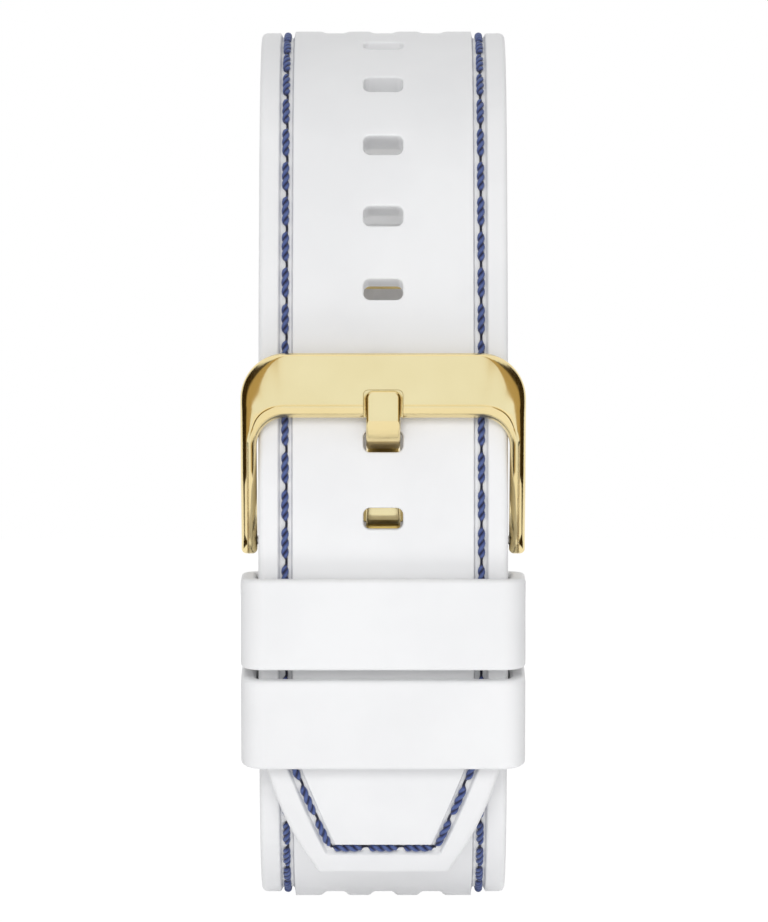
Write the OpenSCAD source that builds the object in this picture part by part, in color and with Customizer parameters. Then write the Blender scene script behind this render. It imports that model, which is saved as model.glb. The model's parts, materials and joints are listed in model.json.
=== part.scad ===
// Golf watch on a buckled silicone strap. Millimetres, +Z up, origin at the middle of the wrist.
// The buckle side faces -Y and the dial faces +Y.

/* [Loop] */
// Inside of the loop at the top, above the middle of the wrist
loop_up = 36.7; // [35:0.1:40]
// Inside of the loop at the bottom, below the middle of the wrist
loop_down = 36.4; // [35:0.1:40]
// Inside of the loop from the buckle side to the case back
wrist_d = 48; // [46:0.5:52]
// Radius of the buckle side, outer face of the tail strap
front_r = 85; // [78:1:100]
// Height of the middle of that curve
front_mid_z = -4; // [-5:0.5:-3]
// Radius of the top turn, outer face
top_r = 18; // [16:0.5:20]
// Radius of the bottom turn, outer face of the buckle strap
bottom_r = 18; // [16:0.5:20]

/* [Straps] */
// Width of both straps
strap_w = 22; // [20:0.5:24]
// Thickness of the tail strap
tail_t = 2.6; // [2.2:0.1:3]
// Thickness of the buckle strap
under_t = 2.8; // [2.4:0.1:3.2]
// Gap between the two straps where they lie on each other
layer_gap = 0.3; // [0.2:0.05:0.5]
// Rounding of the outer edges
edge_out = 0.9; // [0.5:0.1:1.1]
// Rounding of the edges on the skin side
edge_in = 0.5; // [0.3:0.1:0.7]
// Distance from the strap's edge to the middle of a stitch groove
groove_in = 2.35; // [2.2:0.05:2.6]
// Width of a stitch groove
groove_w = 1.3; // [1:0.1:1.5]
// Depth of a stitch groove
groove_d = 0.55; // [0.4:0.05:0.7]
// Number of raised ribs toward the case
rib_n = 4; // [2:1:4]
// Flat left between the outer ribs and the stitch grooves
rib_side = 0.475; // [0.4:0.025:0.8]
// Height of the ribs on the tail strap at the top of the loop
rib_top = 0.15; // [0.1:0.05:0.3]
// Height of the ribs on the buckle strap at the bottom of the loop
rib_bottom = 0.35; // [0.2:0.05:0.4]

/* [Holes and tip] */
// Number of holes in the tail strap
hole_n = 8; // [5:1:8]
// Distance between two holes along the strap
hole_pitch = 6.8; // [6.4:0.1:7]
// Width of a hole across the strap
hole_w = 3.5; // [3.4:0.1:4]
// Length of a hole along the strap
hole_l = 1.9; // [1.8:0.1:2.2]
// Rounding of a hole's corners
hole_r = 0.6; // [0.3:0.1:0.8]
// Height of the hole that the tongue goes through
tongue_hole_z = 1.73; // [1.5:0.01:1.9]
// Angle that the tail strap reaches round the bottom turn
tip_a = 49; // [44:1:54]
// Length of the taper at the end of the tail strap
taper_l = 14.5; // [13:0.5:15]
// Half of the width at the square end of the tip
tip_hw = 5.3; // [4.8:0.1:5.6]
// Size of the bevel at the corners of the tip
tip_bevel = 0.65; // [0.4:0.05:0.9]
// Size of the chamfer along the tip's outer edge
tip_chamfer = 0.5; // [0.3:0.05:0.6]
// Radius of the bowed sides of the taper
taper_r = 52; // [40:1:80]
// Distance from the end of the tip to the cross run of the stitch groove
run_t = 2.95; // [2.6:0.05:3.3]
// How much shorter the cross run is than the end of the tip, each side
run_in = 0.34; // [0.3:0.02:0.5]
// Distance from the end of the tip at which the groove turns outward no more
bend_t = 12; // [11.4:0.1:12]

/* [Thread] */
// Radius of the thread
thread_r = 0.32; // [0.25:0.01:0.36]
// Distance from one stitch to the next
stitch_pitch = 3.4; // [3:0.1:4]
// Length of thread that shows in one stitch
stitch_l = 2.7; // [2.2:0.1:2.8]

/* [Buckle] */
// Height of the buckle's pivot
pivot_z = -7; // [-7.4:0.1:-6.8]
// Radius of the strap's loop round the pivot
loop_r = 1.7; // [1.6:0.05:1.8]
// Width of the slot in the loop for the tongue
slot_w = 3.4; // [3.3:0.1:4]
// Width of each leg of the frame
leg_w = 1.4; // [1.2:0.1:1.8]
// Gap between each leg and the strap
leg_gap = 0.15; // [0.1:0.05:0.3]
// Radius of the lower end of a leg
leg_r = 1.2; // [1.1:0.05:1.3]
// Height of the lower edge of the front bar
bar_z = 3.8; // [3.5:0.1:4.2]
// Height of the front bar from its lower edge to its upper edge
bar_h = 5.7; // [5:0.1:6.5]
// Thickness of the front bar
bar_t = 1.9; // [1.6:0.1:2.2]
// Gap between the front bar and the tail strap
bar_gap = 0.3; // [0.2:0.05:0.5]
// Rounding of the outer corners of the frame
frame_r = 4; // [3:0.5:5]
// Rounding of the inner corners of the frame
frame_in_r = 2.5; // [1.5:0.5:3]
// Width of the notch for the tongue
notch_w = 3.5; // [3.3:0.1:4]
// Height of the top of the notch above the bar's lower edge
notch_h = 2.45; // [2:0.05:3]
// Depth of the notch
notch_d = 0.9; // [0.6:0.1:1.1]
// Width of the tongue
tongue_w = 3; // [2.6:0.1:3.1]
// Thickness of the tongue
tongue_t = 1.1; // [0.9:0.05:1.2]

/* [Keepers] */
// Length of a keeper along the strap
keeper_l = 8.6; // [7:0.1:8.7]
// Thickness of a keeper's wall
keeper_wall = 1.35; // [1:0.05:1.5]
// Gap between a keeper and the strap's edges
keeper_gap = 0.2; // [0.15:0.05:0.3]
// Gap between a keeper and the skin side of the strap
keeper_back = 0.45; // [0.4:0.05:0.6]
// Height of the middle of the upper keeper
keeper_z = -13.95; // [-14.2:0.05:-13.8]
// Distance along the strap between the middles of the keepers
keeper_step = 8.87; // [8.8:0.01:9.2]
// Rounding of a keeper's outer corners
keeper_r = 2; // [1.4:0.1:2.4]

/* [Spring bars] */
// Radius of a spring bar's tube
bar_r = 0.75; // [0.65:0.05:0.8]
// Radius of the bore in a tube
bar_bore_r = 0.5; // [0.45:0.01:0.55]
// Radius of the nose of a bar's tip
nose_r = 0.4; // [0.3:0.05:0.45]
// Length of the nose in the lug or the leg
nose_l = 0.8; // [0.6:0.1:1]
// Travel of a tip into its tube
tip_travel = 0.9; // [0.8:0.05:1.2]
// Thickness of the shoulder on a tip
shoulder_t = 0.3; // [0.2:0.05:0.4]
// Running clearance round a tube, a tip or a nose
run_clear = 0.05; // [0.03:0.01:0.08]
// Radius of the springs' wire
wire_r = 0.11; // [0.08:0.01:0.12]

/* [Case] */
// How far the case stands out past the strap, each side
case_over = 0; // [0:0.1:0.5]
// Thickness of the case body
case_t = 9.4; // [9:0.1:10.5]
// Length of the flat top of the case body
case_flat = 34.8; // [34.6:0.1:36]
// Rounding of the case's corners seen from the front
case_r = 4; // [3:0.5:5]
// Distance between the two lug bars
lug_span = 44; // [43.5:0.5:46]
// Width of a lug
lug_w = 2.95; // [2.6:0.05:3.2]
// Radius of a lug's end
lug_r = 2.2; // [2:0.1:2.4]
// Height of the lug bars above the case back
lug_up = 0.6; // [0.4:0.1:1]
// Radius of the strap's end round a lug bar
eye_r = 1.9; // [1.7:0.05:2]
// Gap between the strap and the lugs
lug_gap = 0.6; // [0.4:0.1:1]
// Thickness of the case's side walls
side_wall = 3; // [2.9:0.05:3.2]
// Length of the space inside
cavity_l = 28; // [27.6:0.2:28.4]
// Thickness of the back cover
cover_t = 1.2; // [1:0.1:1.4]
// How far the back cover reaches past the space inside, each side
cover_lap = 1; // [0.9:0.05:1.2]
// Room past each end of the space inside for the screws
screw_lap = 2.4; // [2.2:0.1:2.5]
// Thickness of the wall under the crystal
front_wall = 1; // [0.8:0.1:1.2]
// How far the window's edge reaches in past the side walls
window_in = 0.7; // [0.6:0.05:1]
// Length of the window
window_l = 24; // [20:0.5:24.6]
// How far the bezel is set in from the case's sides
bezel_in = 1; // [0.6:0.1:1.2]
// Length of the bezel
bezel_l = 34; // [32:0.5:34.4]
// Thickness of the bezel
bezel_t = 1.8; // [1.6:0.1:2.4]
// Radius of the bezel's lengthwise curve
bezel_r = 120; // [110:5:200]
// Width of the crystal's ledge round the window
crystal_lap = 1.4; // [1.1:0.1:1.5]
// Thickness of the crystal gasket
gasket_t = 0.3; // [0.2:0.05:0.4]
// Clearance between parts that are fitted into each other
fit = 0.1; // [0.05:0.01:0.15]

/* [Buttons] */
// Height of a button above and below the middle of the case
button_z = 8.5; // [7:0.5:9.5]
// Distance of the buttons in front of the case back
button_up = 5.6; // [5.4:0.1:6]
// Radius of a button's head
button_r = 1.6; // [1.3:0.1:1.8]
// How far a button stands out of the case
button_out = 0.65; // [0.6:0.05:0.7]
// Travel of a button
button_travel = 0.5; // [0.3:0.05:0.55]
// Radius of a button's stem
stem_r = 0.7; // [0.6:0.05:0.75]
// Depth of a button's seat in the case's side
seat_d = 2.1; // [2.1:0.05:2.3]
// Thickness of a button's seal
seal_t = 0.46; // [0.4:0.02:0.5]

/* [Insides] */
// Room between the battery and the side walls
battery_room = 1; // [1:0.1:2]
// Room between the battery and the end wall, and between it and the charging contacts
battery_in = 0.4; // [0.3:0.1:0.8]
battery_gap = 1.8; // [1:0.1:3]
// Thickness of the battery
battery_t = 2.6; // [2.2:0.1:2.6]
// Thickness of the board
board_t = 0.8; // [0.6:0.1:1]
// Thickness of the display
display_t = 1.2; // [1:0.1:1.3]
// Thickness of the display's bracket
bracket_t = 0.7; // [0.5:0.1:0.8]
// Radius and thickness of the vibration motor
motor_r = 3.4; // [3:0.1:3.5]
motor_t = 2.4; // [2:0.1:2.6]
// Length and thickness of the antenna
antenna_l = 6.6; // [5:0.1:6.8]
antenna_t = 2; // [1.5:0.1:2.2]
// Room from the motor and the antenna to the side walls, and between the two
part_room = 0.9; // [0.8:0.1:1]
part_gap = 0.8; // [0.6:0.1:1]
// Distance between two charging contacts
contact_pitch = 3; // [2.4:0.1:3.4]
// Radius of a charging contact
contact_r = 0.6; // [0.4:0.05:0.7]
// Room between the charging contacts and the motor and antenna
contact_room = 0.5; // [0.4:0.1:0.8]
// Radius of a back screw's thread and of its head
screw_r = 0.55; // [0.5:0.05:0.6]
screw_head_r = 0.9; // [0.8:0.05:1]
// Length of a back screw
screw_l = 3.75; // [3:0.05:3.8]
// Thickness of a back screw's head
screw_head_t = 0.5; // [0.4:0.05:0.55]

/* [Hidden] */
$fn = 64;

silicone = "#ececee";
thread = "#3c4b8c";
gold = "#d8b566";
steel = "#a8abb0";
dark = "#22252b";

// Sizes that follow from others
groove_x = strap_w / 2 - groove_in;
rib_w = 2 * (groove_x - groove_w / 2 - rib_side) / (2 * rib_n - 1);
run_hw = tip_hw - run_in;
case_w = strap_w + 2 * case_over;
lug_between = case_w - 2 * lug_w;
cavity_w = case_w - 2 * side_wall;
window_w = cavity_w - 2 * window_in;
bezel_w = case_w - 2 * bezel_in;
battery_w = cavity_w - 2 * battery_room;
antenna_w = cavity_w - 2 * part_room - 2 * motor_r - part_gap;

// Layers of the buckle side, as radii round one centre
face_y = -wrist_d / 2 - tail_t - layer_gap - under_t;
fy = face_y + front_r;
fz = front_mid_z;
under_r = front_r - tail_t - layer_gap;

// Top turn of the tail strap
function r3(x) = round(x * 1000) / 1000;
top_a = r3(asin((loop_up + tail_t - top_r - fz) / (front_r - top_r)));
ty = fy - (front_r - top_r) * cos(top_a);
tz = fz + (front_r - top_r) * sin(top_a);

// Bottom turn of the buckle strap, with the tail's end over it
low_a = r3(asin((fz + loop_down + under_t - bottom_r) / (under_r - bottom_r)));
by = fy - (under_r - bottom_r) * cos(low_a);
bz = fz - (under_r - bottom_r) * sin(low_a);
tip_r = bottom_r + layer_gap + tail_t;

// Lug bars, and the rear curves that run through them
case_y = wrist_d / 2;
lug_y = case_y + lug_up;
lug_z = lug_span / 2;
function rear(w, h) = (w * w + h * h) / (2 * h);
tail_h = tz + top_r - tail_t / 2;
tail_rm = r3(rear(lug_y - ty, tail_h - lug_z));
tail_rz = tail_h - tail_rm;
tail_end = asin((lug_y - ty) / tail_rm);
under_h = bottom_r - bz - under_t / 2;
under_rm = r3(rear(lug_y - by, under_h - lug_z));
under_rz = under_rm - under_h;
under_end = asin((lug_y - by) / under_rm);
neck = lug_r + lug_gap;
neck_w = lug_between - 3 * fit;

// Heights of things on the buckle side
function front_y(z, off) = fy - sqrt(pow(front_r + off, 2) - pow(z - fz, 2));
function deg(x) = x * 180 / PI;
pivot_r = under_r - loop_r;
pivot_y = fy - sqrt(pivot_r * pivot_r - pow(pivot_z - fz, 2));
pivot_a = asin((pivot_z - fz) / pivot_r);
frame_half = strap_w / 2 + leg_gap + leg_w;
frame_gap = strap_w + 2 * leg_gap;
hole_a = asin((tongue_hole_z - fz) / front_r);
keeper_a1 = asin((keeper_z - fz) / front_r);
keeper_a2 = keeper_a1 - deg(keeper_step / front_r);

// Case levels
case_top = case_y + case_t;
button_y = case_y + button_up;
board_y = case_y + cover_t + 2 * fit + battery_t + 0.3;
display_y = case_top - front_wall - fit - display_t;
end_z = lug_z - eye_r - lug_gap;
ledge_x = cavity_w / 2;

// Turns the profile's x into the distance from the centre, at angles from -Y up to +Z
module at(cy, cz, a) translate([0, cy, cz]) rotate([90, 0, -90]) rotate([0, 0, a]) children();
// A prism along the strap's normal, drawn as seen from outside: x along the strap, y across it
module prism(r0, r1) translate([r0, 0, 0]) rotate([90, 0, 90]) linear_extrude(r1 - r0) children();
// A slab across the case, drawn as x and z, from y0 on
module slab(y0, t) translate([0, y0 + t, 0]) rotate([90, 0, 0]) linear_extrude(t) children();
// A side profile drawn as y and z, across the middle
module across(w) translate([-w / 2, 0, 0]) rotate([90, 0, 90]) linear_extrude(w) children();
// A round bar along X
module rod(x0, x1, r) translate([x0, 0, 0]) rotate([0, 90, 0]) cylinder(r = r, h = x1 - x0);

module rr(w, h, r) {
    square([w - 2 * r, h], center = true);
    square([w, h - 2 * r], center = true);
    for (x = [-1, 1], y = [-1, 1]) translate([x * (w / 2 - r), y * (h / 2 - r)]) circle(r);
}

// A straight stroke, and a line of strokes with round ends and corners
module stroke(p, q, w) translate(p) rotate(atan2(q[1] - p[1], q[0] - p[0]))
    translate([0, -w / 2]) square([norm(q - p), w]);
module strokes(pts, w) {
    for (i = [0:len(pts) - 2]) stroke(pts[i], pts[i + 1], w);
    for (p = pts) translate(p) circle(w / 2);
}

// Paths run along the outer face with growing angle, as [centre y, centre z, radius, from, to]
function seg_len(g) = g[2] * (g[4] - g[3]) * PI / 180;
function upto(path, n) = n == 0 ? 0 : upto(path, n - 1) + seg_len(path[n - 1]);
function spot(path, s, i = 0) = i == len(path) - 1 || s <= seg_len(path[i])
    ? [path[i][0], path[i][1], path[i][2], path[i][3] + deg(s / path[i][2])]
    : spot(path, s - seg_len(path[i]), i + 1);
module on_path(path, s) {
    q = spot(path, s);
    at(q[0], q[1], q[3]) translate([q[2], 0, 0]) children();
}

tail_path = [[by, bz, tip_r, -tip_a, -low_a], [fy, fz, front_r, -low_a, top_a],
    [ty, tz, top_r, top_a, 90],
    [ty, tail_rz, tail_rm + tail_t / 2, 90, 90 + tail_end - deg(neck / tail_rm)]];
tail_crest = upto(tail_path, 3);
tail_len = upto(tail_path, 4);
under_path = [[by, under_rz, under_rm + under_t / 2, -90 - under_end + deg(neck / under_rm), -90],
    [by, bz, bottom_r, -90, -low_a], [fy, fz, under_r, -low_a, pivot_a]];
under_low = upto(under_path, 1);
under_len = upto(under_path, 3);

// Outline of the tip: bevel, then bowed sides out to the full width
taper_p = [tip_bevel, tip_hw + tip_bevel];
taper_q = [taper_l, strap_w / 2];
taper_d = taper_q - taper_p;
taper_n = [taper_d[1], -taper_d[0]] / norm(taper_d);
taper_c = (taper_p + taper_q) / 2 + taper_n * sqrt(taper_r * taper_r - pow(norm(taper_d) / 2, 2));
function half_at(s) = s >= taper_l ? strap_w / 2 : s <= tip_bevel ? tip_hw + s
    : min(strap_w / 2, taper_c[1] + sqrt(taper_r * taper_r - pow(s - taper_c[0], 2)));
slant = (groove_x - run_hw) / (bend_t - run_t);
function groove_at(s) = min(groove_x, run_hw + (s - run_t) * slant,
    half_at(s) - edge_out - groove_w / 2 - 0.05);

// Section as points: ribs across the middle, then down each side. x is across, y is the depth
function ribs(k, p, h) = [for (i = [0:rib_n - 1]) let (c = (2 * i - rib_n + 1) * rib_w)
    each [[k * (c - rib_w / 2), p], [k * (c - rib_w / 2 + 0.2), p - h],
        [k * (c + rib_w / 2 - 0.2), p - h], [k * (c + rib_w / 2), p]]];
function flank(hw, xg, p, d, t, g) = [[xg - g / 2, p], [xg - g / 2 + 0.1, d],
    [xg + g / 2 - 0.1, d], [xg + g / 2, 0],
    for (a = [0, 30, 60, 90]) [hw - edge_out * (1 - sin(a)), edge_out * (1 - cos(a))],
    for (a = [0, 45, 90]) [hw - edge_in * (1 - cos(a)), t - edge_in * (1 - sin(a))]];
function section(hw, xg, p, d, h, t, g = groove_w) = let (f = flank(hw, xg, p, d, t, g),
    n = len(f)) concat(h > 0 ? ribs((xg - g / 2) / (groove_x - g / 2), p, h) : [], f,
        [for (i = [n - 1:-1:0]) [-f[i][0], f[i][1]]]);

// One arc of a strap. Centres, radii and angles are rounded alike, so that arcs meet face to face
module sweep(cy, cz, a0, a1) translate([0, r3(cy), r3(cz)])
    translate([0, cy - r3(cy), cz - r3(cz)]) rotate([90, 0, -90])
        rotate_extrude(angle = r3(a1) - r3(a0), start = r3(a0)) children();
module arc(g, a0, a1, h, t, d = groove_d) sweep(g[0], g[1], a0, a1)
    polygon([for (p = section(strap_w / 2, groove_x, 0, d, h, t)) [r3(g[2] - r3(p[1])), r3(p[0])]]);

// The tip is cut and grooved square to the strap at its middle
tip_top = low_a - deg((taper_l + 1 - seg_len(tail_path[0])) / front_r);
tip_mid = (tip_a + low_a) / 2;
module tip_prism() at(by, bz, -tip_mid) prism(bottom_r - 6, tip_r + 3)
    translate([-tip_r * sin(tip_mid - low_a), 0]) children();
module tip_waste(s) difference() {
    translate([-1, s > 0 ? tip_hw : -tip_hw - strap_w]) square([taper_l + 1, strap_w]);
    polygon([[-1, s * (tip_hw - 1)], [0, s * tip_hw], [tip_bevel, s * (tip_hw + tip_bevel)],
        [taper_l, s * strap_w / 2], [taper_l, 0], [-1, 0]]);
    translate([taper_c[0], s * taper_c[1]]) circle(taper_r, $fn = 180);
}
// The groove round the tip is cut in short straight lengths, as distance along and across
slant_n = 4;
slant_p = [run_t, run_hw];
slant_q = [bend_t - run_t, groove_x - run_hw] / slant_n;
module tip_cut(p, q, s) on_path(tail_path, (p[0] + q[0]) / 2) prism(-groove_d, 1)
    translate([0, s * (p[1] + q[1]) / 2]) rotate(s * atan2(q[1] - p[1], q[0] - p[0]))
        square([norm(q - p) + groove_w / 3, groove_w], center = true);
module tip_body() difference() {
    union() {
        arc(tail_path[0], -tip_a, -low_a, 0, tail_t, 0.02);
        arc(tail_path[1], -low_a, -tip_top, 0, tail_t);
    }
    for (s = [-1, 1]) tip_prism() tip_waste(s);
    for (s = [-1, 1], k = [0:slant_n - 1])
        tip_cut(slant_p + k * slant_q, slant_p + (k + 1) * slant_q, s);
    tip_cut([run_t, run_hw], [run_t, -run_hw], 1);
    for (s = [-1, 1], k = [0:slant_n]) let (d = (taper_l - tip_bevel) / (slant_n + 1),
        a = tip_bevel + k * d) tip_edge([a, half_at(a)], [a + d, half_at(a + d)], s);
    tip_edge([0, -tip_hw], [0, tip_hw], 1);
}
// Bevels the outer edge along a short length of the outline
module tip_edge(p, q, s) on_path(tail_path, (p[0] + q[0]) / 2)
    translate([0, 0, s * (p[1] + q[1]) / 2]) rotate([s * atan2(q[1] - p[1], q[0] - p[0]), 0, 0])
        translate([0, 0, s * -tip_chamfer]) rotate([0, s * 45, 0])
            translate([-2, -norm(q - p) / 2 - 0.1, s > 0 ? 0 : -1])
                cube([2.5, norm(q - p) + 0.2, 1]);
tail_rib_a = 90 - deg(4 / top_r);
under_rib_a = -90 + deg(5 / bottom_r);

module tail_strap() color(silicone) difference() {
    union() {
        tip_body();
        arc(tail_path[1], -tip_top, top_a, 0, tail_t);
        arc(tail_path[2], top_a, tail_rib_a, 0, tail_t);
        arc(tail_path[2], tail_rib_a, 90, rib_top, tail_t);
        arc(tail_path[3], 90, tail_path[3][4], rib_top, tail_t);
        lug_end(lug_y, lug_z, tail_path[3][0], tail_rz, 90 + tail_end, tail_rm, tail_t);
    }
    for (k = [0:hole_n - 1])
        on_path(tail_path, upto(tail_path, 1) + (low_a + hole_a) * PI / 180 * front_r
            + (k - 1) * hole_pitch) prism(-tail_t - 1, 1) rr(hole_l, hole_w, hole_r);
    translate([0, lug_y, lug_z]) rod(-strap_w, strap_w, bar_r + run_clear);
}

// Neck between the lugs and the eye round the lug bar; a is the bar's angle
module lug_end(y, z, cy, cz, a, rm, t) {
    translate([0, y, z]) rod(-neck_w / 2, neck_w / 2, eye_r);
    at(cy, cz, a) translate([rm - t / 2 + 0.15, a > 0 ? -neck - 0.6 : -0.35, 0.1 - neck_w / 2])
        cube([t - 0.3, neck + 0.95, neck_w - 0.2]);
}

// One stitch, laid along the strap at the groove's floor
module stitch(turn = 0) translate([thread_r - groove_d - 0.03, 0, 0]) rotate([turn, 0, 0]) {
    rotate([90, 0, 0]) cylinder(r = thread_r, h = stitch_l - 2 * thread_r, center = true, $fn = 16);
    for (s = [-1, 1]) translate([0, s * (stitch_l / 2 - thread_r), 0]) sphere(thread_r, $fn = 16);
}
module stitch_rows(path, s0, s1) {
    n = floor((s1 - s0) / stitch_pitch);
    for (i = [0:n - 1], s = [-1, 1]) on_path(path, s0 + (i + 0.5) * (s1 - s0) / n)
        translate([0, 0, s * groove_x]) stitch();
}

module tail_stitching() color(thread) {
    stitch_rows(tail_path, bend_t, tail_len - 0.5);
    for (s = [-1, 1], i = [0:2]) {
        p = run_t + (bend_t - run_t) * (i + 0.6) / 3.1;
        on_path(tail_path, p) translate([0, 0, s * groove_at(p)]) stitch(s * atan(slant));
    }
    for (i = [-1:1]) on_path(tail_path, run_t) translate([0, 0, i * 2 * run_hw / 3]) stitch(90);
}

module buckle_strap() color(silicone) difference() {
    union() {
        arc(under_path[0], under_path[0][3], -90, rib_bottom, under_t);
        arc(under_path[1], -90, under_rib_a, rib_bottom, under_t);
        arc(under_path[1], under_rib_a, -low_a, 0, under_t);
        arc(under_path[2], -low_a, pivot_a, 0, under_t);
        translate([0, pivot_y, pivot_z]) rod(-strap_w / 2 + 0.1, strap_w / 2 - 0.1, loop_r);
        lug_end(lug_y, -lug_z, by, under_rz, -90 - under_end, under_rm, under_t);
    }
    translate([0, pivot_y, pivot_z]) rod(-strap_w, strap_w, bar_r + run_clear);
    translate([-slot_w / 2, pivot_y - 2 * loop_r, pivot_z - loop_r - 0.4])
        cube([slot_w, 4 * loop_r, 3 * loop_r]);
    translate([0, lug_y, -lug_z]) rod(-strap_w, strap_w, bar_r + run_clear);
}

module buckle_stitching() color(thread) stitch_rows(under_path, 0.5, under_len - 2.6);

// Frame seen from the side: legs that rise from the pivot, and the bar along the strap's face
leg_mid = [front_y((pivot_z + bar_z) / 2, -1.4), (pivot_z + bar_z) / 2];
function bar_at(z) = [front_y(z, bar_gap + bar_t / 2), z];
bar_low = bar_at(bar_z + bar_t / 2);
bar_high = bar_at(bar_z + bar_h - bar_t / 2);
module frame_side() {
    hull() {
        translate([pivot_y, pivot_z]) circle(leg_r);
        translate(leg_mid) circle(leg_r + 0.05);
    }
    hull() {
        translate(leg_mid) circle(leg_r + 0.05);
        translate(bar_low) circle(bar_t / 2);
    }
    hull() {
        translate(bar_low) circle(bar_t / 2);
        translate(bar_high) circle(bar_t / 2);
    }
}

// Frame seen from the front: a U with round corners, open below
module frame_front() {
    top = bar_z + bar_h;
    difference() {
        union() {
            translate([-frame_half, pivot_z - 3]) square([2 * frame_half, top - frame_r - pivot_z + 3]);
            translate([-frame_half + frame_r, 0]) square([2 * (frame_half - frame_r), top]);
            for (s = [-1, 1]) translate([s * (frame_half - frame_r), top - frame_r]) circle(frame_r);
        }
        translate([-frame_gap / 2, pivot_z - 4])
            square([frame_gap, bar_z - frame_in_r - pivot_z + 4]);
        translate([-frame_gap / 2 + frame_in_r, 0]) square([frame_gap - 2 * frame_in_r, bar_z]);
        for (s = [-1, 1])
            translate([s * (frame_gap / 2 - frame_in_r), bar_z - frame_in_r]) circle(frame_in_r);
    }
}

module buckle_frame() color(gold) difference() {
    intersection() {
        across(3 * frame_half) frame_side();
        slab(face_y - 3 * under_t, wrist_d / 2) frame_front();
    }
    translate([0, fy, fz]) rod(-frame_gap / 2, frame_gap / 2, front_r + bar_gap - fit / 2, $fn = 720);
    translate([0, pivot_y, pivot_z])
        rod(-frame_gap / 2 - nose_l - 0.1, frame_gap / 2 + nose_l + 0.1, nose_r + run_clear);
    across(notch_w) polygon([
        bar_at(bar_z - 1) + [-bar_t, 0], bar_at(bar_z + notch_h) + [-bar_t, 0],
        bar_at(bar_z + notch_h) + [notch_d - bar_t / 2, 0],
        bar_at(bar_z - 1) + [notch_d - bar_t / 2, 0]]);
}

tongue_in = -tail_t - layer_gap - tongue_t / 2;
tongue_out = bar_gap + bar_t - notch_d + tongue_t / 2 + 0.1;
tongue_tip = bar_z + notch_h - 0.15 - tongue_t / 2;
function on(z, off) = [front_y(z, off), z];
tongue_path = [[pivot_y, pivot_z], on(pivot_z + 2.1, tongue_in), on(tongue_hole_z - 0.5, tongue_in),
    on(tongue_hole_z + 0.05, -tail_t / 2), on(tongue_hole_z + 0.4, 0.4),
    on(bar_z - 0.15, tongue_out), on(tongue_tip, tongue_out)];

module buckle_tongue() color(gold) difference() {
    intersection() {
        across(tongue_w) {
            strokes(tongue_path, tongue_t);
            translate([pivot_y, pivot_z]) circle(loop_r - 0.1);
        }
        slab(face_y - 3 * under_t, wrist_d / 2)
            translate([0, (tongue_tip + tongue_t / 2 + pivot_z - loop_r) / 2])
            rr(tongue_w, tongue_tip + tongue_t / 2 - pivot_z + loop_r, 0.7);
    }
    translate([0, pivot_y, pivot_z]) rod(-strap_w, strap_w, bar_r + run_clear);
}

// A keeper is a flat tube round both straps
keeper_in = tail_t + layer_gap + under_t + keeper_back + keeper_gap;
module keeper(a) color(silicone)
    sweep(fy, fz, a - deg(keeper_l / 2 / front_r), a + deg(keeper_l / 2 / front_r))
        translate([front_r + keeper_gap - keeper_in / 2, 0]) difference() {
            rr(keeper_in + 2 * keeper_wall, strap_w + 2 * keeper_gap + 2 * keeper_wall, keeper_r);
            rr(keeper_in, strap_w + 2 * keeper_gap, 0.6);
        }
module keeper_upper() keeper(keeper_a1);
module keeper_lower() keeper(keeper_a2);

// Spring bars lie along X between two faces that are a gap apart
function tube_half(gap) = gap / 2 - fit - shoulder_t - tip_travel - 0.1;
plunger_l = 2.6;
module bar_tube(gap) color(steel) difference() {
    rod(-tube_half(gap), tube_half(gap), bar_r);
    rod(-gap, gap, bar_bore_r);
}
module bar_tip(gap, s) color(steel) mirror([s < 0 ? 1 : 0, 0, 0]) {
    rod(gap / 2 - fit - 0.01, gap / 2 + nose_l, nose_r);
    rod(gap / 2 - fit - shoulder_t, gap / 2 - fit, bar_r - 0.05);
    rod(tube_half(gap) - plunger_l, gap / 2 - fit - shoulder_t + 0.01, bar_bore_r - run_clear);
}

// Coil spring along X from x0 to x1, one closed sweep
module coil(x0, x1, r, turns, w) {
    n = 9 * turns;
    m = 4;
    pts = [for (i = [0:n], j = [0:m - 1]) let (
        a = 360 * turns * i / n,
        q = r + w * cos(360 * j / m),
        x = x0 + w + (x1 - x0 - 2 * w) * i / n + w * sin(360 * j / m)) [x, q * cos(a), q * sin(a)]];
    sides = [for (i = [0:n - 1], j = [0:m - 1]) let (a = i * m + j, b = i * m + (j + 1) % m)
        each [[a, b, b + m], [a, b + m, a + m]]];
    ends = [[for (j = [m - 1:-1:0]) j], [for (j = [0:m - 1]) n * m + j]];
    color(steel) polyhedron(pts, concat(sides, ends), convexity = 10);
}
module bar_spring(gap) {
    half = tube_half(gap) - plunger_l - 0.02;
    coil(-half, half, bar_bore_r - run_clear - wire_r, ceil(half), wire_r);
}

module buckle_place() translate([0, pivot_y, pivot_z]) children();
module buckle_bar_tube() buckle_place() bar_tube(frame_gap);
module buckle_bar_tip_left() buckle_place() bar_tip(frame_gap, -1);
module buckle_bar_tip_right() buckle_place() bar_tip(frame_gap, 1);
module buckle_bar_spring() buckle_place() bar_spring(frame_gap);
module tail_place() translate([0, lug_y, lug_z]) children();
module tail_bar_tube() tail_place() bar_tube(lug_between);
module tail_bar_tip_left() tail_place() bar_tip(lug_between, -1);
module tail_bar_tip_right() tail_place() bar_tip(lug_between, 1);
module tail_bar_spring() tail_place() bar_spring(lug_between);
module strap_place() translate([0, lug_y, -lug_z]) children();
module strap_bar_tube() strap_place() bar_tube(lug_between);
module strap_bar_tip_left() strap_place() bar_tip(lug_between, -1);
module strap_bar_tip_right() strap_place() bar_tip(lug_between, 1);
module strap_bar_spring() strap_place() bar_spring(lug_between);

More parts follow.
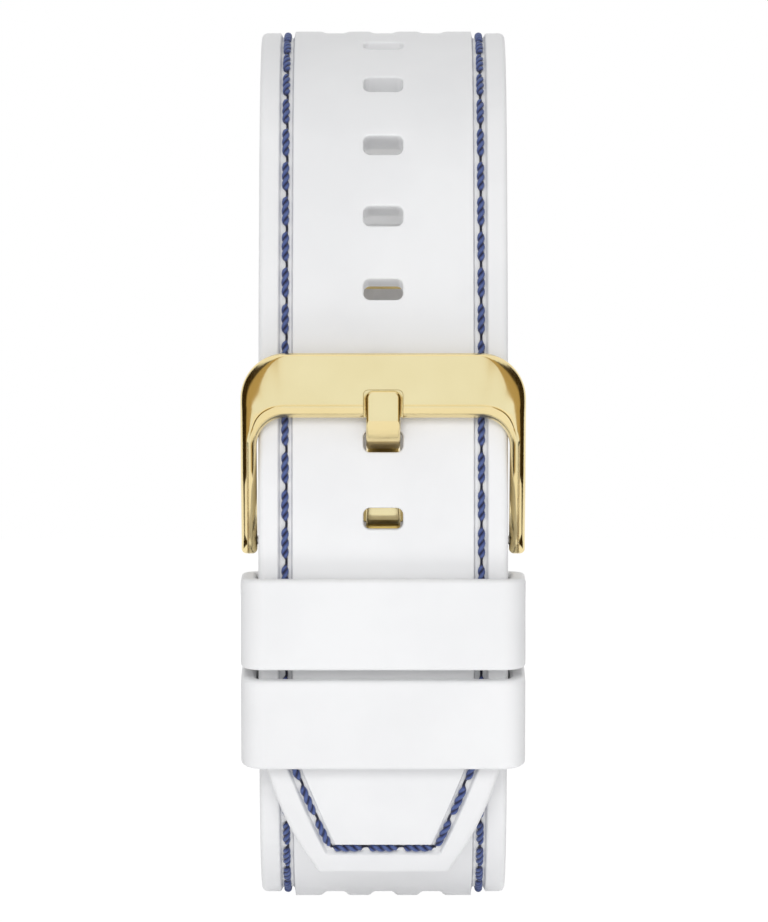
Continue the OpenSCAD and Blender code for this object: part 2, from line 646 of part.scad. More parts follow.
// Case: the front outline cut by a side profile that droops into the lugs
module case_side() hull() {
    translate([case_y, -case_flat / 2]) square([case_t, case_flat]);
    for (s = [-1, 1]) translate([lug_y, s * lug_z]) circle(lug_r);
}
screw_x = ledge_x - 0.6;
screw_z = cavity_l / 2 + screw_lap / 2;
screw_y = case_y + cover_t / 2;
module screw_spots() for (x = [-screw_x, screw_x], z = [-screw_z, screw_z])
    translate([x, 0, z]) children();
module yrod(y0, y1, r) translate([0, y1, 0]) rotate([90, 0, 0]) cylinder(r = r, h = y1 - y0);
module button_spots() for (s = [-1, 1], z = [-button_z, button_z])
    translate([0, button_y, z]) mirror([s < 0 ? 1 : 0, 0, 0]) children();
cover_w = cavity_w + 2 * cover_lap;
cover_l = cavity_l + 2 * screw_lap;
seat_x = case_w / 2 - seat_d;

module case_body() color(gold) difference() {
    intersection() {
        slab(case_y - 4, case_t + 8) rr(case_w, lug_span + 2 * lug_r, case_r);
        across(case_w) case_side();
    }
    for (s = [-1, 1]) translate([-lug_between / 2, case_y - case_t / 2, s > 0 ? end_z : -end_z - lug_z])
        cube([lug_between, 2 * case_t, lug_z]);
    slab(case_y - 1, cover_t + 1) rr(cover_w + 2 * fit, cover_l + 2 * fit, 2.4);
    slab(case_y + cover_t - 0.01, case_t - cover_t - front_wall) rr(cavity_w, cavity_l, 2);
    slab(case_y + cover_t - 0.01, 0.4) rr(cavity_w + 1.1, cavity_l + 1.1, 2.4);
    slab(case_top - 3, 5) rr(window_w, window_l, 2);
    for (s = [-1, 1]) translate([0, lug_y, s * lug_z])
        rod(-lug_between / 2 - nose_l - 0.1, lug_between / 2 + nose_l + 0.1, nose_r + run_clear);
    button_spots() {
        rod(cavity_w / 2 - 1, case_w, stem_r + run_clear);
        rod(seat_x, case_w, button_r + fit);
        rod(cavity_w / 2 + 0.15, cavity_w / 2 + 0.19 + seal_t, stem_r + 0.45);
    }
    screw_spots() yrod(case_y, screw_y + screw_l, screw_r + fit / 2);
}

crystal_w = window_w + 2 * crystal_lap;
crystal_l = window_l + 2 * crystal_lap + 1.2;
module bezel() color(gold) intersection() {
    slab(case_top, bezel_t + 1) difference() {
        rr(bezel_w, bezel_l, 4);
        rr(crystal_w + 2 * fit, crystal_l + 2 * fit, 2.6);
    }
    translate([0, case_top + bezel_t - bezel_r, 0])
        rotate([0, 90, 0]) cylinder(r = bezel_r, h = 2 * case_w, center = true, $fn = 200);
}
module crystal() color("#1c2230") intersection() {
    slab(case_top + gasket_t, bezel_t) rr(crystal_w, crystal_l, 2.5);
    translate([0, case_top + bezel_t - bezel_r - 0.15, 0])
        rotate([0, 90, 0]) cylinder(r = bezel_r, h = 2 * case_w, center = true, $fn = 200);
}
module crystal_gasket() color(dark) slab(case_top, gasket_t) difference() {
    rr(crystal_w - 0.2, crystal_l - 0.2, 2.4);
    rr(window_w + 0.4, window_l + 0.4, 2);
}
module display_panel() color("#10141c") slab(display_y, display_t)
    rr(cavity_w - 2 * fit, window_l + 1.4, 1.4);
module display_bracket() color(steel) slab(display_y - bracket_t, bracket_t) difference() {
    rr(cavity_w - 1.4, cavity_l - 1, 1.2);
    rr(cavity_w - 5, cavity_l - 9, 1);
}
module main_board() color("#2c6b46") {
    slab(board_y, board_t) rr(cavity_w - 1.4, cavity_l - 0.6, 1);
    for (z = [-8, 0, 8]) slab(board_y + board_t - 0.01, 0.6) translate([0, z]) square([5, 5], center = true);
}
spot_z = -cavity_l / 2 + motor_r + part_room;
contact_z = spot_z + max(motor_r, antenna_l / 2) + contact_r + contact_room;
battery_l = cavity_l / 2 - battery_in - contact_z - contact_r - battery_gap;
module gps_antenna() color("#c9b48a") slab(board_y - antenna_t, antenna_t)
    translate([ledge_x - part_room - antenna_w / 2, spot_z]) square([antenna_w, antenna_l], center = true);
module vibration_motor() color(steel) translate([-ledge_x + part_room + motor_r, 0, spot_z])
    yrod(board_y - motor_t, board_y, motor_r);
module battery() color("#8f949c")
    slab(board_y - 0.1 - battery_t, battery_t) translate([0, cavity_l / 2 - battery_in - battery_l / 2])
        rr(battery_w, battery_l, 1);
module contact_spots() for (i = [-1.5:1:1.5]) translate([i * contact_pitch, 0, contact_z]) children();
module back_cover() color(steel) difference() {
    slab(case_y, cover_t) rr(cover_w, cover_l, 2.3);
    contact_spots() yrod(case_y - 1, case_y + cover_t + 1, contact_r + run_clear);
    screw_spots() {
        yrod(case_y - 1, case_y + cover_t + 1, screw_r + fit / 2);
        yrod(case_y - 1, screw_y, screw_head_r + fit);
    }
}
module back_gasket() color(dark) slab(case_y + cover_t, 0.36) difference() {
    rr(cavity_w + 1, cavity_l + 1, 2.3);
    rr(cavity_w + 0.1, cavity_l + 0.1, 2);
}
module back_screws() color(steel) screw_spots() {
    yrod(screw_y - screw_head_t, screw_y, screw_head_r);
    yrod(screw_y - screw_head_t / 2, screw_y - screw_head_t + screw_l, screw_r);
}
module charge_contacts() color(gold) contact_spots() yrod(case_y, board_y, contact_r);

module one_button() {
    rod(seat_x + button_travel + 0.6, case_w / 2 + button_out, button_r);
    rod(cavity_w / 2 - 0.05, seat_x + button_travel + 0.61, stem_r);
}
module button(s, z) color(gold) translate([0, button_y, z * button_z])
    mirror([s < 0 ? 1 : 0, 0, 0]) one_button();
module button_spring(s, z) translate([0, button_y, z * button_z]) mirror([s < 0 ? 1 : 0, 0, 0])
    coil(seat_x + 0.02, seat_x + button_travel + 0.58, stem_r + 0.35, 3, wire_r);
module button_seals() color(dark) button_spots() difference() {
    rod(cavity_w / 2 + 0.17, cavity_w / 2 + 0.17 + seal_t, stem_r + 0.43);
    rod(0, case_w, stem_r + run_clear);
}
module button_upper_left() button(-1, 1);
module button_upper_right() button(1, 1);
module button_lower_left() button(-1, -1);
module button_lower_right() button(1, -1);
module button_spring_upper_left() button_spring(-1, 1);
module button_spring_upper_right() button_spring(1, 1);
module button_spring_lower_left() button_spring(-1, -1);
module button_spring_lower_right() button_spring(1, -1);

tail_strap();
tail_stitching();
buckle_strap();
buckle_stitching();
buckle_frame();
buckle_tongue();
keeper_upper();
keeper_lower();
buckle_bar_tube();
buckle_bar_tip_left();
buckle_bar_tip_right();
buckle_bar_spring();
tail_bar_tube();
tail_bar_tip_left();
tail_bar_tip_right();
tail_bar_spring();
strap_bar_tube();
strap_bar_tip_left();
strap_bar_tip_right();
strap_bar_spring();
case_body();
bezel();
crystal();
crystal_gasket();
display_panel();
display_bracket();
main_board();
gps_antenna();
battery();
vibration_motor();
back_cover();
back_gasket();
back_screws();
charge_contacts();
button_seals();
button_upper_left();
button_upper_right();
button_lower_left();
button_lower_right();
button_spring_upper_left();
button_spring_upper_right();
button_spring_lower_left();
button_spring_lower_right();
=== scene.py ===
# Slim watch on a buckled silicone strap. Lengths are millimetres, but metres in the materials and the studio.
import json
import math

import bmesh
import bpy
from mathutils import Matrix, Vector


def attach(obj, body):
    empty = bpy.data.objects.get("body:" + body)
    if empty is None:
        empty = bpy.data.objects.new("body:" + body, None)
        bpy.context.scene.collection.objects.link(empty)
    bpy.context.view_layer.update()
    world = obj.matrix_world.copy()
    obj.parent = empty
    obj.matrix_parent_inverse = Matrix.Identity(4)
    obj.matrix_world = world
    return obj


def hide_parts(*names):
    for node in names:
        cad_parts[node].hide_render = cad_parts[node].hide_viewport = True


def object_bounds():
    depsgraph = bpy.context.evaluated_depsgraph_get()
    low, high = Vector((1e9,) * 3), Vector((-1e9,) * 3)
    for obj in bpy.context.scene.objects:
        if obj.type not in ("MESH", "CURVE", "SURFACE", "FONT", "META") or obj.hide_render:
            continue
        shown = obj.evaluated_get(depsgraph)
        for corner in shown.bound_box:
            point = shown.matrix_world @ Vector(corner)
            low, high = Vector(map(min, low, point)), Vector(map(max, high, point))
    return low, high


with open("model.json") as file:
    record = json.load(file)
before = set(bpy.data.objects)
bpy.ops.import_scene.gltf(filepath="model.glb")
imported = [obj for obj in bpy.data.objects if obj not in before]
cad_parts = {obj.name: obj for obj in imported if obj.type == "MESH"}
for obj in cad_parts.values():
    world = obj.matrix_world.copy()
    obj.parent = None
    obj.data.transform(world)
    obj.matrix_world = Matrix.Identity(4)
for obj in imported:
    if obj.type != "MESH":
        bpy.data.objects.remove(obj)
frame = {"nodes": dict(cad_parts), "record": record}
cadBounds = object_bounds()
nodes = frame["nodes"]
mm = 0.001
print("frame loaded:", len(nodes), "nodes")


def smoothStep(t):
    t = max(0.0, min(1.0, t))
    return t * t * (3 - 2 * t)


# How far a corner of radius r has dropped at the distance t from its edge
def roundDrop(r, t):
    return 0.0 if t >= r else r - math.sqrt(max(0.0, r * r - (r - t) ** 2))


def ringFromPoints(bm, points):
    verts = [bm.verts.new(p) for p in points]
    edges = [bm.edges.new((verts[i], verts[(i + 1) % len(verts)])) for i in range(len(verts))]
    return verts, edges


# Corner points of a rounded rectangle, as flat pairs
def roundedLoop(width, height, radius, steps):
    points = []
    for k, (sx, sy) in enumerate([(1, 1), (-1, 1), (-1, -1), (1, -1)]):
        cx, cy = sx * (width / 2 - radius), sy * (height / 2 - radius)
        for i in range(steps + 1):
            a = math.radians(90 * k + 90 * i / steps)
            points.append((cx + radius * math.cos(a), cy + radius * math.sin(a)))
    return points


def cutRows(bm, rows):
    for s in rows:
        geom = bm.verts[:] + bm.edges[:] + bm.faces[:]
        bmesh.ops.bisect_plane(bm, geom=geom, dist=1e-5, plane_co=(0, s, 0), plane_no=(0, 1, 0))


def meshObject(bm, name):
    mesh = bpy.data.meshes.new(name)
    bm.to_mesh(mesh)
    bm.free()
    obj = bpy.data.objects.new(name, mesh)
    bpy.context.scene.collection.objects.link(obj)
    return obj


def applyModifiers(obj):
    bpy.context.view_layer.update()
    graph = bpy.context.evaluated_depsgraph_get()
    mesh = bpy.data.meshes.new_from_object(obj.evaluated_get(graph))
    obj.modifiers.clear()
    obj.data = mesh


# Takes the cutter's shape out of a piece
def cutAway(obj, cutter):
    mod = obj.modifiers.new("cut", "BOOLEAN")
    mod.operation, mod.solver, mod.object = "DIFFERENCE", "EXACT", cutter
    applyModifiers(obj)
    bpy.data.objects.remove(cutter)


def finishPiece(obj, material, body, replaced=(), angle=35, weighted=False):
    mesh = obj.data
    mesh.transform(Matrix.Scale(mm, 4))
    mesh.materials.clear()
    mesh.materials.append(material)
    for poly in mesh.polygons:
        poly.use_smooth = True
        poly.material_index = 0
    mesh.set_sharp_from_angle(angle=math.radians(angle))
    if weighted:
        mod = obj.modifiers.new("normals", "WEIGHTED_NORMAL")
        mod.keep_sharp = True
        applyModifiers(obj)
    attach(obj, body)
    if replaced:
        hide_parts(*replaced)
    return obj


def newMaterial(name):
    mat = bpy.data.materials.new(name)
    mat.use_nodes = True
    tree = mat.node_tree
    return mat, tree.nodes, tree.links, tree.nodes["Principled BSDF"]


def noiseNode(nds, links, coords, scale, detail=4.0, rough=0.5):
    noise = nds.new("ShaderNodeTexNoise")
    noise.inputs["Scale"].default_value = scale
    noise.inputs["Detail"].default_value = detail
    noise.inputs["Roughness"].default_value = rough
    links.new(coords, noise.inputs["Vector"])
    return noise


def rampNode(nds, links, factor, stops):
    ramp = nds.new("ShaderNodeValToRGB")
    while len(ramp.color_ramp.elements) < len(stops):
        ramp.color_ramp.elements.new(0.5)
    for element, (place, colour) in zip(ramp.color_ramp.elements, stops):
        element.position = place
        element.color = (*colour, 1)
    links.new(factor, ramp.inputs["Fac"])
    return ramp


def rangeNode(nds, links, factor, low, high):
    node = nds.new("ShaderNodeMapRange")
    node.inputs["To Min"].default_value = low
    node.inputs["To Max"].default_value = high
    links.new(factor, node.inputs["Value"])
    return node


def bumpNode(nds, links, height, distance, strength, bsdf):
    bump = nds.new("ShaderNodeBump")
    bump.inputs["Strength"].default_value = strength
    bump.inputs["Distance"].default_value = distance
    links.new(height, bump.inputs["Height"])
    links.new(bump.outputs["Normal"], bsdf.inputs["Normal"])


siliconeLook = {"pale": (0.835, 0.838, 0.845), "deep": (0.80, 0.803, 0.812), "rough": (0.40, 0.50)}


def makeSilicone():
    mat, nds, links, bsdf = newMaterial("whiteSilicone")
    coords = nds.new("ShaderNodeTexCoord").outputs["Object"]
    cloud = noiseNode(nds, links, coords, 90, 3)
    ramp = rampNode(nds, links, cloud.outputs["Fac"],
                    [(0.35, siliconeLook["deep"]), (0.6, siliconeLook["pale"])])
    links.new(ramp.outputs["Color"], bsdf.inputs["Base Color"])
    grain = noiseNode(nds, links, coords, 5200, 2)
    rough = rangeNode(nds, links, grain.outputs["Fac"], *siliconeLook["rough"])
    links.new(rough.outputs["Result"], bsdf.inputs["Roughness"])
    bumpNode(nds, links, grain.outputs["Fac"], 0.00002, 0.25, bsdf)
    bsdf.inputs["Specular IOR Level"].default_value = 0.35
    bsdf.inputs["Subsurface Weight"].default_value = 0.12
    bsdf.inputs["Subsurface Radius"].default_value = (0.0009, 0.0009, 0.0009)
    bsdf.inputs["Subsurface Scale"].default_value = 1.0
    return mat


goldLook = {"light": (0.88, 0.735, 0.40), "dark": (0.84, 0.69, 0.36), "rough": (0.15, 0.2)}


def makeGold():
    mat, nds, links, bsdf = newMaterial("goldTone")
    coords = nds.new("ShaderNodeTexCoord").outputs["Object"]
    cloud = noiseNode(nds, links, coords, 160, 3)
    ramp = rampNode(nds, links, cloud.outputs["Fac"],
                    [(0.3, goldLook["dark"]), (0.7, goldLook["light"])])
    links.new(ramp.outputs["Color"], bsdf.inputs["Base Color"])
    bsdf.inputs["Metallic"].default_value = 1.0
    wear = noiseNode(nds, links, coords, 900, 5, 0.6)
    rough = rangeNode(nds, links, wear.outputs["Fac"], *goldLook["rough"])
    links.new(rough.outputs["Result"], bsdf.inputs["Roughness"])
    bumpNode(nds, links, wear.outputs["Fac"], 0.000004, 0.15, bsdf)
    return mat


# The thread's blue (mid), with a painted shade for creases and gaps (dark) and a painted highlight on the ply
# crests (pale)
threadColourAndPaintedShade = {"pale": (0.10, 0.15, 0.37), "mid": (0.05, 0.078, 0.26), "dark": (0.006, 0.007, 0.03)}


def makeThread():
    mat, nds, links, bsdf = newMaterial("blueThread")
    coords = nds.new("ShaderNodeTexCoord").outputs["Object"]
    plyPaintedShade = nds.new("ShaderNodeAttribute")
    # The attribute is a painted shade: dark in the creases between plies and in the gaps, pale on the ply
    # crests
    plyPaintedShade.attribute_name = "plyPaintedShade"
    ramp = rampNode(nds, links, plyPaintedShade.outputs["Fac"],
                    [(0.1, threadColourAndPaintedShade["dark"]), (0.62, threadColourAndPaintedShade["mid"]), (1.0, threadColourAndPaintedShade["pale"])])
    fibre = noiseNode(nds, links, coords, 9000, 3, 0.7)
    mix = nds.new("ShaderNodeMix")
    mix.data_type, mix.blend_type = "RGBA", "MULTIPLY"
    mix.inputs[0].default_value = 0.55
    links.new(ramp.outputs["Color"], mix.inputs[6])
    shade = rampNode(nds, links, fibre.outputs["Fac"], [(0.35, (0.5, 0.5, 0.55)), (0.65, (1, 1, 1))])
    links.new(shade.outputs["Color"], mix.inputs[7])
    links.new(mix.outputs[2], bsdf.inputs["Base Color"])
    bsdf.inputs["Roughness"].default_value = 0.62
    bsdf.inputs["Sheen Weight"].default_value = 0.25
    bsdf.inputs["Sheen Roughness"].default_value = 0.5
    bumpNode(nds, links, fibre.outputs["Fac"], 0.00004, 0.5, bsdf)
    return mat


# A finish with a little mottling in its colour, gloss and surface
def makePlain(name, colour, metallic=0.0, rough=(0.3, 0.45), scale=600, depth=0.000006, shift=0.12):
    mat, nds, links, bsdf = newMaterial(name)
    coords = nds.new("ShaderNodeTexCoord").outputs["Object"]
    cloud = noiseNode(nds, links, coords, scale, 4)
    low = tuple(c * (1 - shift) for c in colour)
    ramp = rampNode(nds, links, cloud.outputs["Fac"], [(0.3, low), (0.7, colour)])
    links.new(ramp.outputs["Color"], bsdf.inputs["Base Color"])
    bsdf.inputs["Metallic"].default_value = metallic
    gloss = rangeNode(nds, links, cloud.outputs["Fac"], *rough)
    links.new(gloss.outputs["Result"], bsdf.inputs["Roughness"])
    bumpNode(nds, links, cloud.outputs["Fac"], depth, 0.3, bsdf)
    return mat


def makeGlass():
    mat, nds, links, bsdf = newMaterial("crystalGlass")
    coords = nds.new("ShaderNodeTexCoord").outputs["Object"]
    bsdf.inputs["Base Color"].default_value = (0.96, 0.98, 1.0, 1)
    bsdf.inputs["Transmission Weight"].default_value = 1.0
    bsdf.inputs["IOR"].default_value = 1.45
    smear = noiseNode(nds, links, coords, 220, 3)
    gloss = rangeNode(nds, links, smear.outputs["Fac"], 0.01, 0.04)
    links.new(gloss.outputs["Result"], bsdf.inputs["Roughness"])
    return mat


silicone, gold, thread, glass = makeSilicone(), makeGold(), makeThread(), makeGlass()
finishes = {
    "silicone_white": silicone, "gold_polished": gold, "thread_blue": thread, "crystal_glass": glass,
    "display_dark": makePlain("darkDisplay", (0.012, 0.014, 0.02), 0.0, (0.08, 0.14)),
    "seal_black": makePlain("blackSeal", (0.02, 0.02, 0.022), 0.0, (0.5, 0.65)),
    "board_green": makePlain("circuitBoard", (0.03, 0.16, 0.07), 0.0, (0.35, 0.5), 1500),
    "antenna_ceramic": makePlain("ceramicPatch", (0.62, 0.54, 0.40), 0.0, (0.4, 0.5)),
    "battery_grey": makePlain("foilPouch", (0.50, 0.51, 0.53), 0.6, (0.35, 0.5), 300, 0.00003),
    "contact_gold": makePlain("contactPlating", (0.83, 0.66, 0.30), 1.0, (0.15, 0.25)),
    "steel": makePlain("satinSteel", (0.60, 0.60, 0.61), 1.0, (0.25, 0.36), 800),
}
slotOf = {p["node"]: p["material_slot"] for p in frame["record"]["subparts"]}
for name, obj in nodes.items():
    material = finishes[slotOf[name]]
    obj.data.materials.clear()
    obj.data.materials.append(material)
print("materials made:", len(finishes))


loop = {"up": 36.35, "down": 36.4, "wrist": 48.0, "frontR": 85.0, "midZ": -4.0,
        "topR": 18.0, "bottomR": 18.0, "tail": 2.6, "under": 2.8, "gap": 0.3,
        "tipAngle": 49.0, "lugY": 24.6, "lugZ": 22.0, "neck": 2.8}
faceY = -loop["wrist"] / 2 - loop["tail"] - loop["gap"] - loop["under"]
frontY, frontZ, frontR = faceY + loop["frontR"], loop["midZ"], loop["frontR"]
underR = frontR - loop["tail"] - loop["gap"]


def rearRadius(w, h):
    return (w * w + h * h) / (2 * h)


topA = math.asin((loop["up"] + loop["tail"] - loop["topR"] - frontZ) / (frontR - loop["topR"]))
topY = frontY - (frontR - loop["topR"]) * math.cos(topA)
topZ = frontZ + (frontR - loop["topR"]) * math.sin(topA)
lowA = math.asin((frontZ + loop["down"] + loop["under"] - loop["bottomR"]) / (underR - loop["bottomR"]))
lowY = frontY - (underR - loop["bottomR"]) * math.cos(lowA)
lowZ = frontZ - (underR - loop["bottomR"]) * math.sin(lowA)
tipR = loop["bottomR"] + loop["gap"] + loop["tail"]

tailHigh = topZ + loop["topR"] - loop["tail"] / 2
tailRearR = rearRadius(loop["lugY"] - topY, tailHigh - loop["lugZ"])
tailRearA = math.asin((loop["lugY"] - topY) / tailRearR)
underLow = loop["bottomR"] - lowZ - loop["under"] / 2
underRearR = rearRadius(loop["lugY"] - lowY, underLow - loop["lugZ"])
underRearA = math.asin((loop["lugY"] - lowY) / underRearR)
pivotZ, pivotR = -7.0, underR - 1.7
pivotA = math.asin((pivotZ - frontZ) / pivotR)
pivotY = frontY - pivotR * math.cos(pivotA)
quarter = math.pi / 2
barBore = 0.82  # radius of what turns round a spring bar

# Each arc is (centre y, centre z, radius of the outer face, from angle, to angle)
tailPath = [(lowY, lowZ, tipR, -math.radians(loop["tipAngle"]), -lowA),
            (frontY, frontZ, frontR, -lowA, topA),
            (topY, topZ, loop["topR"], topA, quarter),
            (topY, tailHigh - tailRearR, tailRearR + loop["tail"] / 2, quarter,
             quarter + tailRearA - loop["neck"] / tailRearR)]
underPath = [(lowY, underRearR - underLow, underRearR + loop["under"] / 2,
              -quarter - underRearA + loop["neck"] / underRearR, -quarter),
             (lowY, lowZ, loop["bottomR"], -quarter, -lowA),
             (frontY, frontZ, underR, -lowA, pivotA)]


def arcLength(arc):
    return arc[2] * (arc[4] - arc[3])


def lengthUpTo(path, count):
    return sum(arcLength(arc) for arc in path[:count])


# Bends a flat point (across, along, out) onto the path
def wrapPoint(path, co):
    s, last = co.y, len(path) - 1
    for i, arc in enumerate(path):
        if i == last or s <= arcLength(arc):
            break
        s -= arcLength(arc)
    a, r = arc[3] + s / arc[2], arc[2] + co.z
    return Vector((co.x, arc[0] - r * math.cos(a), arc[1] + r * math.sin(a)))


def wrapMesh(bm, path):
    for v in bm.verts:
        v.co = wrapPoint(path, v.co)


# Where a strap is cut across so that it bends smoothly
def rowsAlong(path, extra=()):
    rows, start = set(extra), 0.0
    for arc in path:
        length = arcLength(arc)
        count = max(2, int(length / (1.5 if arc[2] > 60 else 0.7)))
        rows.update(start + length * i / count for i in range(1, count + 1))
        start += length
    kept = []
    for s in sorted(rows):
        if s < start - 0.02 and s > 0.01 and (not kept or s - kept[-1] > 0.03):
            kept.append(s)
    return kept


# Joins the four rings of a tube: outer and inner at one end, then at the other
def closeTube(bm, rings):
    for a0, a1 in [(0, 1), (2, 3), (0, 2), (1, 3)]:
        bmesh.ops.bridge_loops(bm, edges=rings[a0] + rings[a1])


# A tube along x round one of the bars
def addTube(bm, left, right, y, z, radius, segments=36):
    rings = []
    for x in (left, right):
        for r in (radius, barBore):
            out = bmesh.ops.create_circle(bm, segments=segments, radius=r)
            turn = Matrix.Translation((x, y, z)) @ Matrix.Rotation(quarter, 4, "Y")
            bmesh.ops.transform(bm, matrix=turn, verts=out["verts"])
            rings.append(list(dict.fromkeys(e for v in out["verts"] for e in v.link_edges)))
    closeTube(bm, rings)


strap = {"half": 11.0, "groove": 8.65, "grooveHalf": 0.65, "grooveDeep": 0.45,
         "edgeOut": 0.5, "edgeIn": 0.5, "channelStep": 4.35, "channelHalf": 1.05,
         "ribTop": 0.15, "ribLow": 0.35, "holes": 8, "holePitch": 6.8, "holeWide": 3.5,
         "holeLong": 1.9, "holeR": 0.6, "holeFillet": 0.16,
         "tongueHoleZ": 1.73}
tip = {"taper": 14.5, "half": 5.3, "bevel": 0.65, "bow": 52.0, "run": 3.3, "runHalf": 4.7,
       "bend": 13.8, "edge": 0.7, "corner": 1.0, "margin": 1.6}

p0 = Vector((tip["bevel"], tip["half"] + tip["bevel"]))
p1 = Vector((tip["taper"], strap["half"]))
chord = p1 - p0
bowCentre = (p0 + p1) / 2 + Vector((chord.y, -chord.x)).normalized() * math.sqrt(
    tip["bow"] ** 2 - (chord.length / 2) ** 2)


def tipHalf(s):
    if s >= tip["taper"]:
        return strap["half"]
    if s < tip["corner"]:
        k = 1 - max(0.0, s) / tip["corner"]
        return tipHalf(tip["corner"]) - 0.92 * tip["corner"] * (1 - math.sqrt(1 - k * k))
    return min(strap["half"], bowCentre.y + math.sqrt(tip["bow"] ** 2 - (s - bowCentre.x) ** 2))


tipSlope = (strap["groove"] - tip["runHalf"]) / (tip["bend"] - tip["run"])


def tipGroove(s):
    return min(strap["groove"], tip["runHalf"] + (s - tip["run"]) * tipSlope,
               tipHalf(s) - tip["margin"])


channelSlope = (-0.28, -0.1, 0.1, 0.28)  # where a channel's side is cut, from its edge


# Half outline from the middle of the outer face to the middle of the skin side
def strapSection(thick):
    g, w, deep = strap["groove"], strap["grooveHalf"], strap["grooveDeep"]
    half = [(0.0, 0.0)]
    edges = [strap["channelHalf"], strap["channelStep"] - strap["channelHalf"],
             strap["channelStep"] + strap["channelHalf"]]
    for edge in edges:
        half += [(edge + d, 0.0) for d in channelSlope]
    steep = [(-0.06, 0.0), (-0.02, 0.06), (0.01, 0.3), (0.04, 0.75), (0.12, 1.0)]
    gentle = [(-0.12, 0.0), (-0.03, 0.03), (0.04, 0.15), (0.12, 0.5), (0.2, 0.85), (0.32, 1.0)]
    half += [(g - w + x, d * deep) for x, d in steep]
    half += [(g, deep)]
    half += [(g + w - x, d * deep) for x, d in reversed(gentle)]
    for k in range(0, 91, 15):
        a = math.radians(k)
        r = strap["edgeOut"]
        half.append((strap["half"] - r * (1 - math.sin(a)), r * (1 - math.cos(a))))
    for k in range(0, 91, 18):
        a = math.radians(k)
        r = strap["edgeIn"]
        half.append((strap["half"] - r * (1 - math.cos(a)), thick - r * (1 - math.sin(a))))
    half.append((0.0, thick))
    return half


# A straight strap: across in x, along in y, its outer face at z = 0
def strapBlank(thick, length):
    bm = bmesh.new()
    half = strapSection(thick)
    points = [(x, 0, -d) for x, d in half] + [(-x, 0, -d) for x, d in reversed(half[1:-1])]
    verts = [bm.verts.new(p) for p in points]
    face = bm.faces.new(verts)
    out = bmesh.ops.extrude_face_region(bm, geom=[face])
    moved = [g for g in out["geom"] if isinstance(g, bmesh.types.BMVert)]
    bmesh.ops.translate(bm, verts=moved, vec=(0, length, 0))
    bmesh.ops.recalc_face_normals(bm, faces=bm.faces)
    return bm


# A closed cutter from one outline, grown or shrunk at each level
def addPlug(bm, outline, layers):
    rings = []
    for z, grow in layers:
        points = [Vector((x, y, z)) for x, y in outline(grow)]
        rings.append(ringFromPoints(bm, points))
    for (_, low), (_, high) in zip(rings, rings[1:]):
        bmesh.ops.bridge_loops(bm, edges=low + high)
    bm.faces.new(rings[0][0])
    bm.faces.new(rings[-1][0])


def holeCutter(places, thick):
    bm = bmesh.new()
    r = strap["holeFillet"]
    flare = [(0.3, r)] + [(-r * (1 - math.cos(math.radians(a))), r * (1 - math.sin(math.radians(a))))
                          for a in (0, 22, 45, 67, 90)]
    levels = flare + [(-thick - 0.5, 0.0)]
    for s in places:
        def outline(grow, s=s):
            wide, long = strap["holeWide"] + 2 * grow, strap["holeLong"] + 2 * grow
            return [(x, y + s) for x, y in roundedLoop(wide, long, strap["holeR"] + grow, 5)]
        addPlug(bm, outline, levels)
    bmesh.ops.recalc_face_normals(bm, faces=bm.faces)
    return meshObject(bm, "holeCutter")


# How much of the rib's height a place across the panel has
def ribShare(x):
    near = min(abs(x), abs(x - strap["channelStep"])) - strap["channelHalf"]
    return smoothStep((near + channelSlope[-1]) / (2 * channelSlope[-1]))


def raiseRibs(bm, height, ramp):
    for v in bm.verts:
        if v.co.z > -0.001 and abs(v.co.x) < strap["groove"] - strap["grooveHalf"]:
            v.co.z += height * ribShare(abs(v.co.x)) * ramp(v.co.y)


# Tapers the end, turns the grooves in and joins them across it
def shapeTip(bm, thick):
    g0, w, deep = strap["groove"], strap["grooveHalf"], strap["grooveDeep"]
    for v in bm.verts:
        s, x, d = v.co.y, abs(v.co.x), -v.co.z
        if s >= tip["taper"]:
            continue
        side = 1 if v.co.x >= 0 else -1
        half, g = tipHalf(s), tipGroove(s)
        if d < 0.6 and x < g0 + w + 0.15:
            cross = smoothStep((s - tip["run"] + w) / 0.25) * smoothStep((tip["run"] + w - s) / 0.25)
            d = d * smoothStep((s - tip["run"] + w) / 0.25)
            if x < g0 - 0.2:
                d = max(d, deep * cross)
        if x <= g0 - w - 0.1:
            x = x * (g - w - 0.12) / (g0 - w - 0.12)
        elif x <= g0 + w + 0.13:
            x = x - g0 + g
        else:
            k = (x - g0 - w) / (strap["half"] - g0 - w)
            x = g + w + k * (half - g - w)
        if d < thick / 2:
            d = max(d, roundDrop(tip["edge"], s))
        else:
            d = min(d, thick - roundDrop(0.4, s))
        v.co = Vector((side * x, s, -d))


lugPiece = {"half": 7.9, "eye": 1.9, "start": 0.9, "lap": 1.1, "side": 0.05, "skin": 0.15}


# The neck between the lugs and the eye round the lug bar, added to a wrapped strap
def lugEnd(bm, y, z, a, thick):
    p = lugPiece
    addTube(bm, -p["half"], p["half"], y, z, p["eye"], 40)
    out = bmesh.ops.create_cube(bm, size=1)
    length = loop["neck"] + p["lap"] - p["start"]
    radial, along = Vector((0, -math.cos(a), math.sin(a))), Vector((0, math.sin(a), math.cos(a)))
    way = -1 if a > 0 else 1
    centre = Vector((0, y, z)) + along * way * (p["start"] + length / 2)
    across = Vector((2 * (p["half"] - p["side"]), 0, 0))
    basis = Matrix((across, along * length, radial * (thick - 2 * p["skin"]))).transposed().to_4x4()
    bmesh.ops.transform(bm, matrix=Matrix.Translation(centre) @ basis, verts=out["verts"])


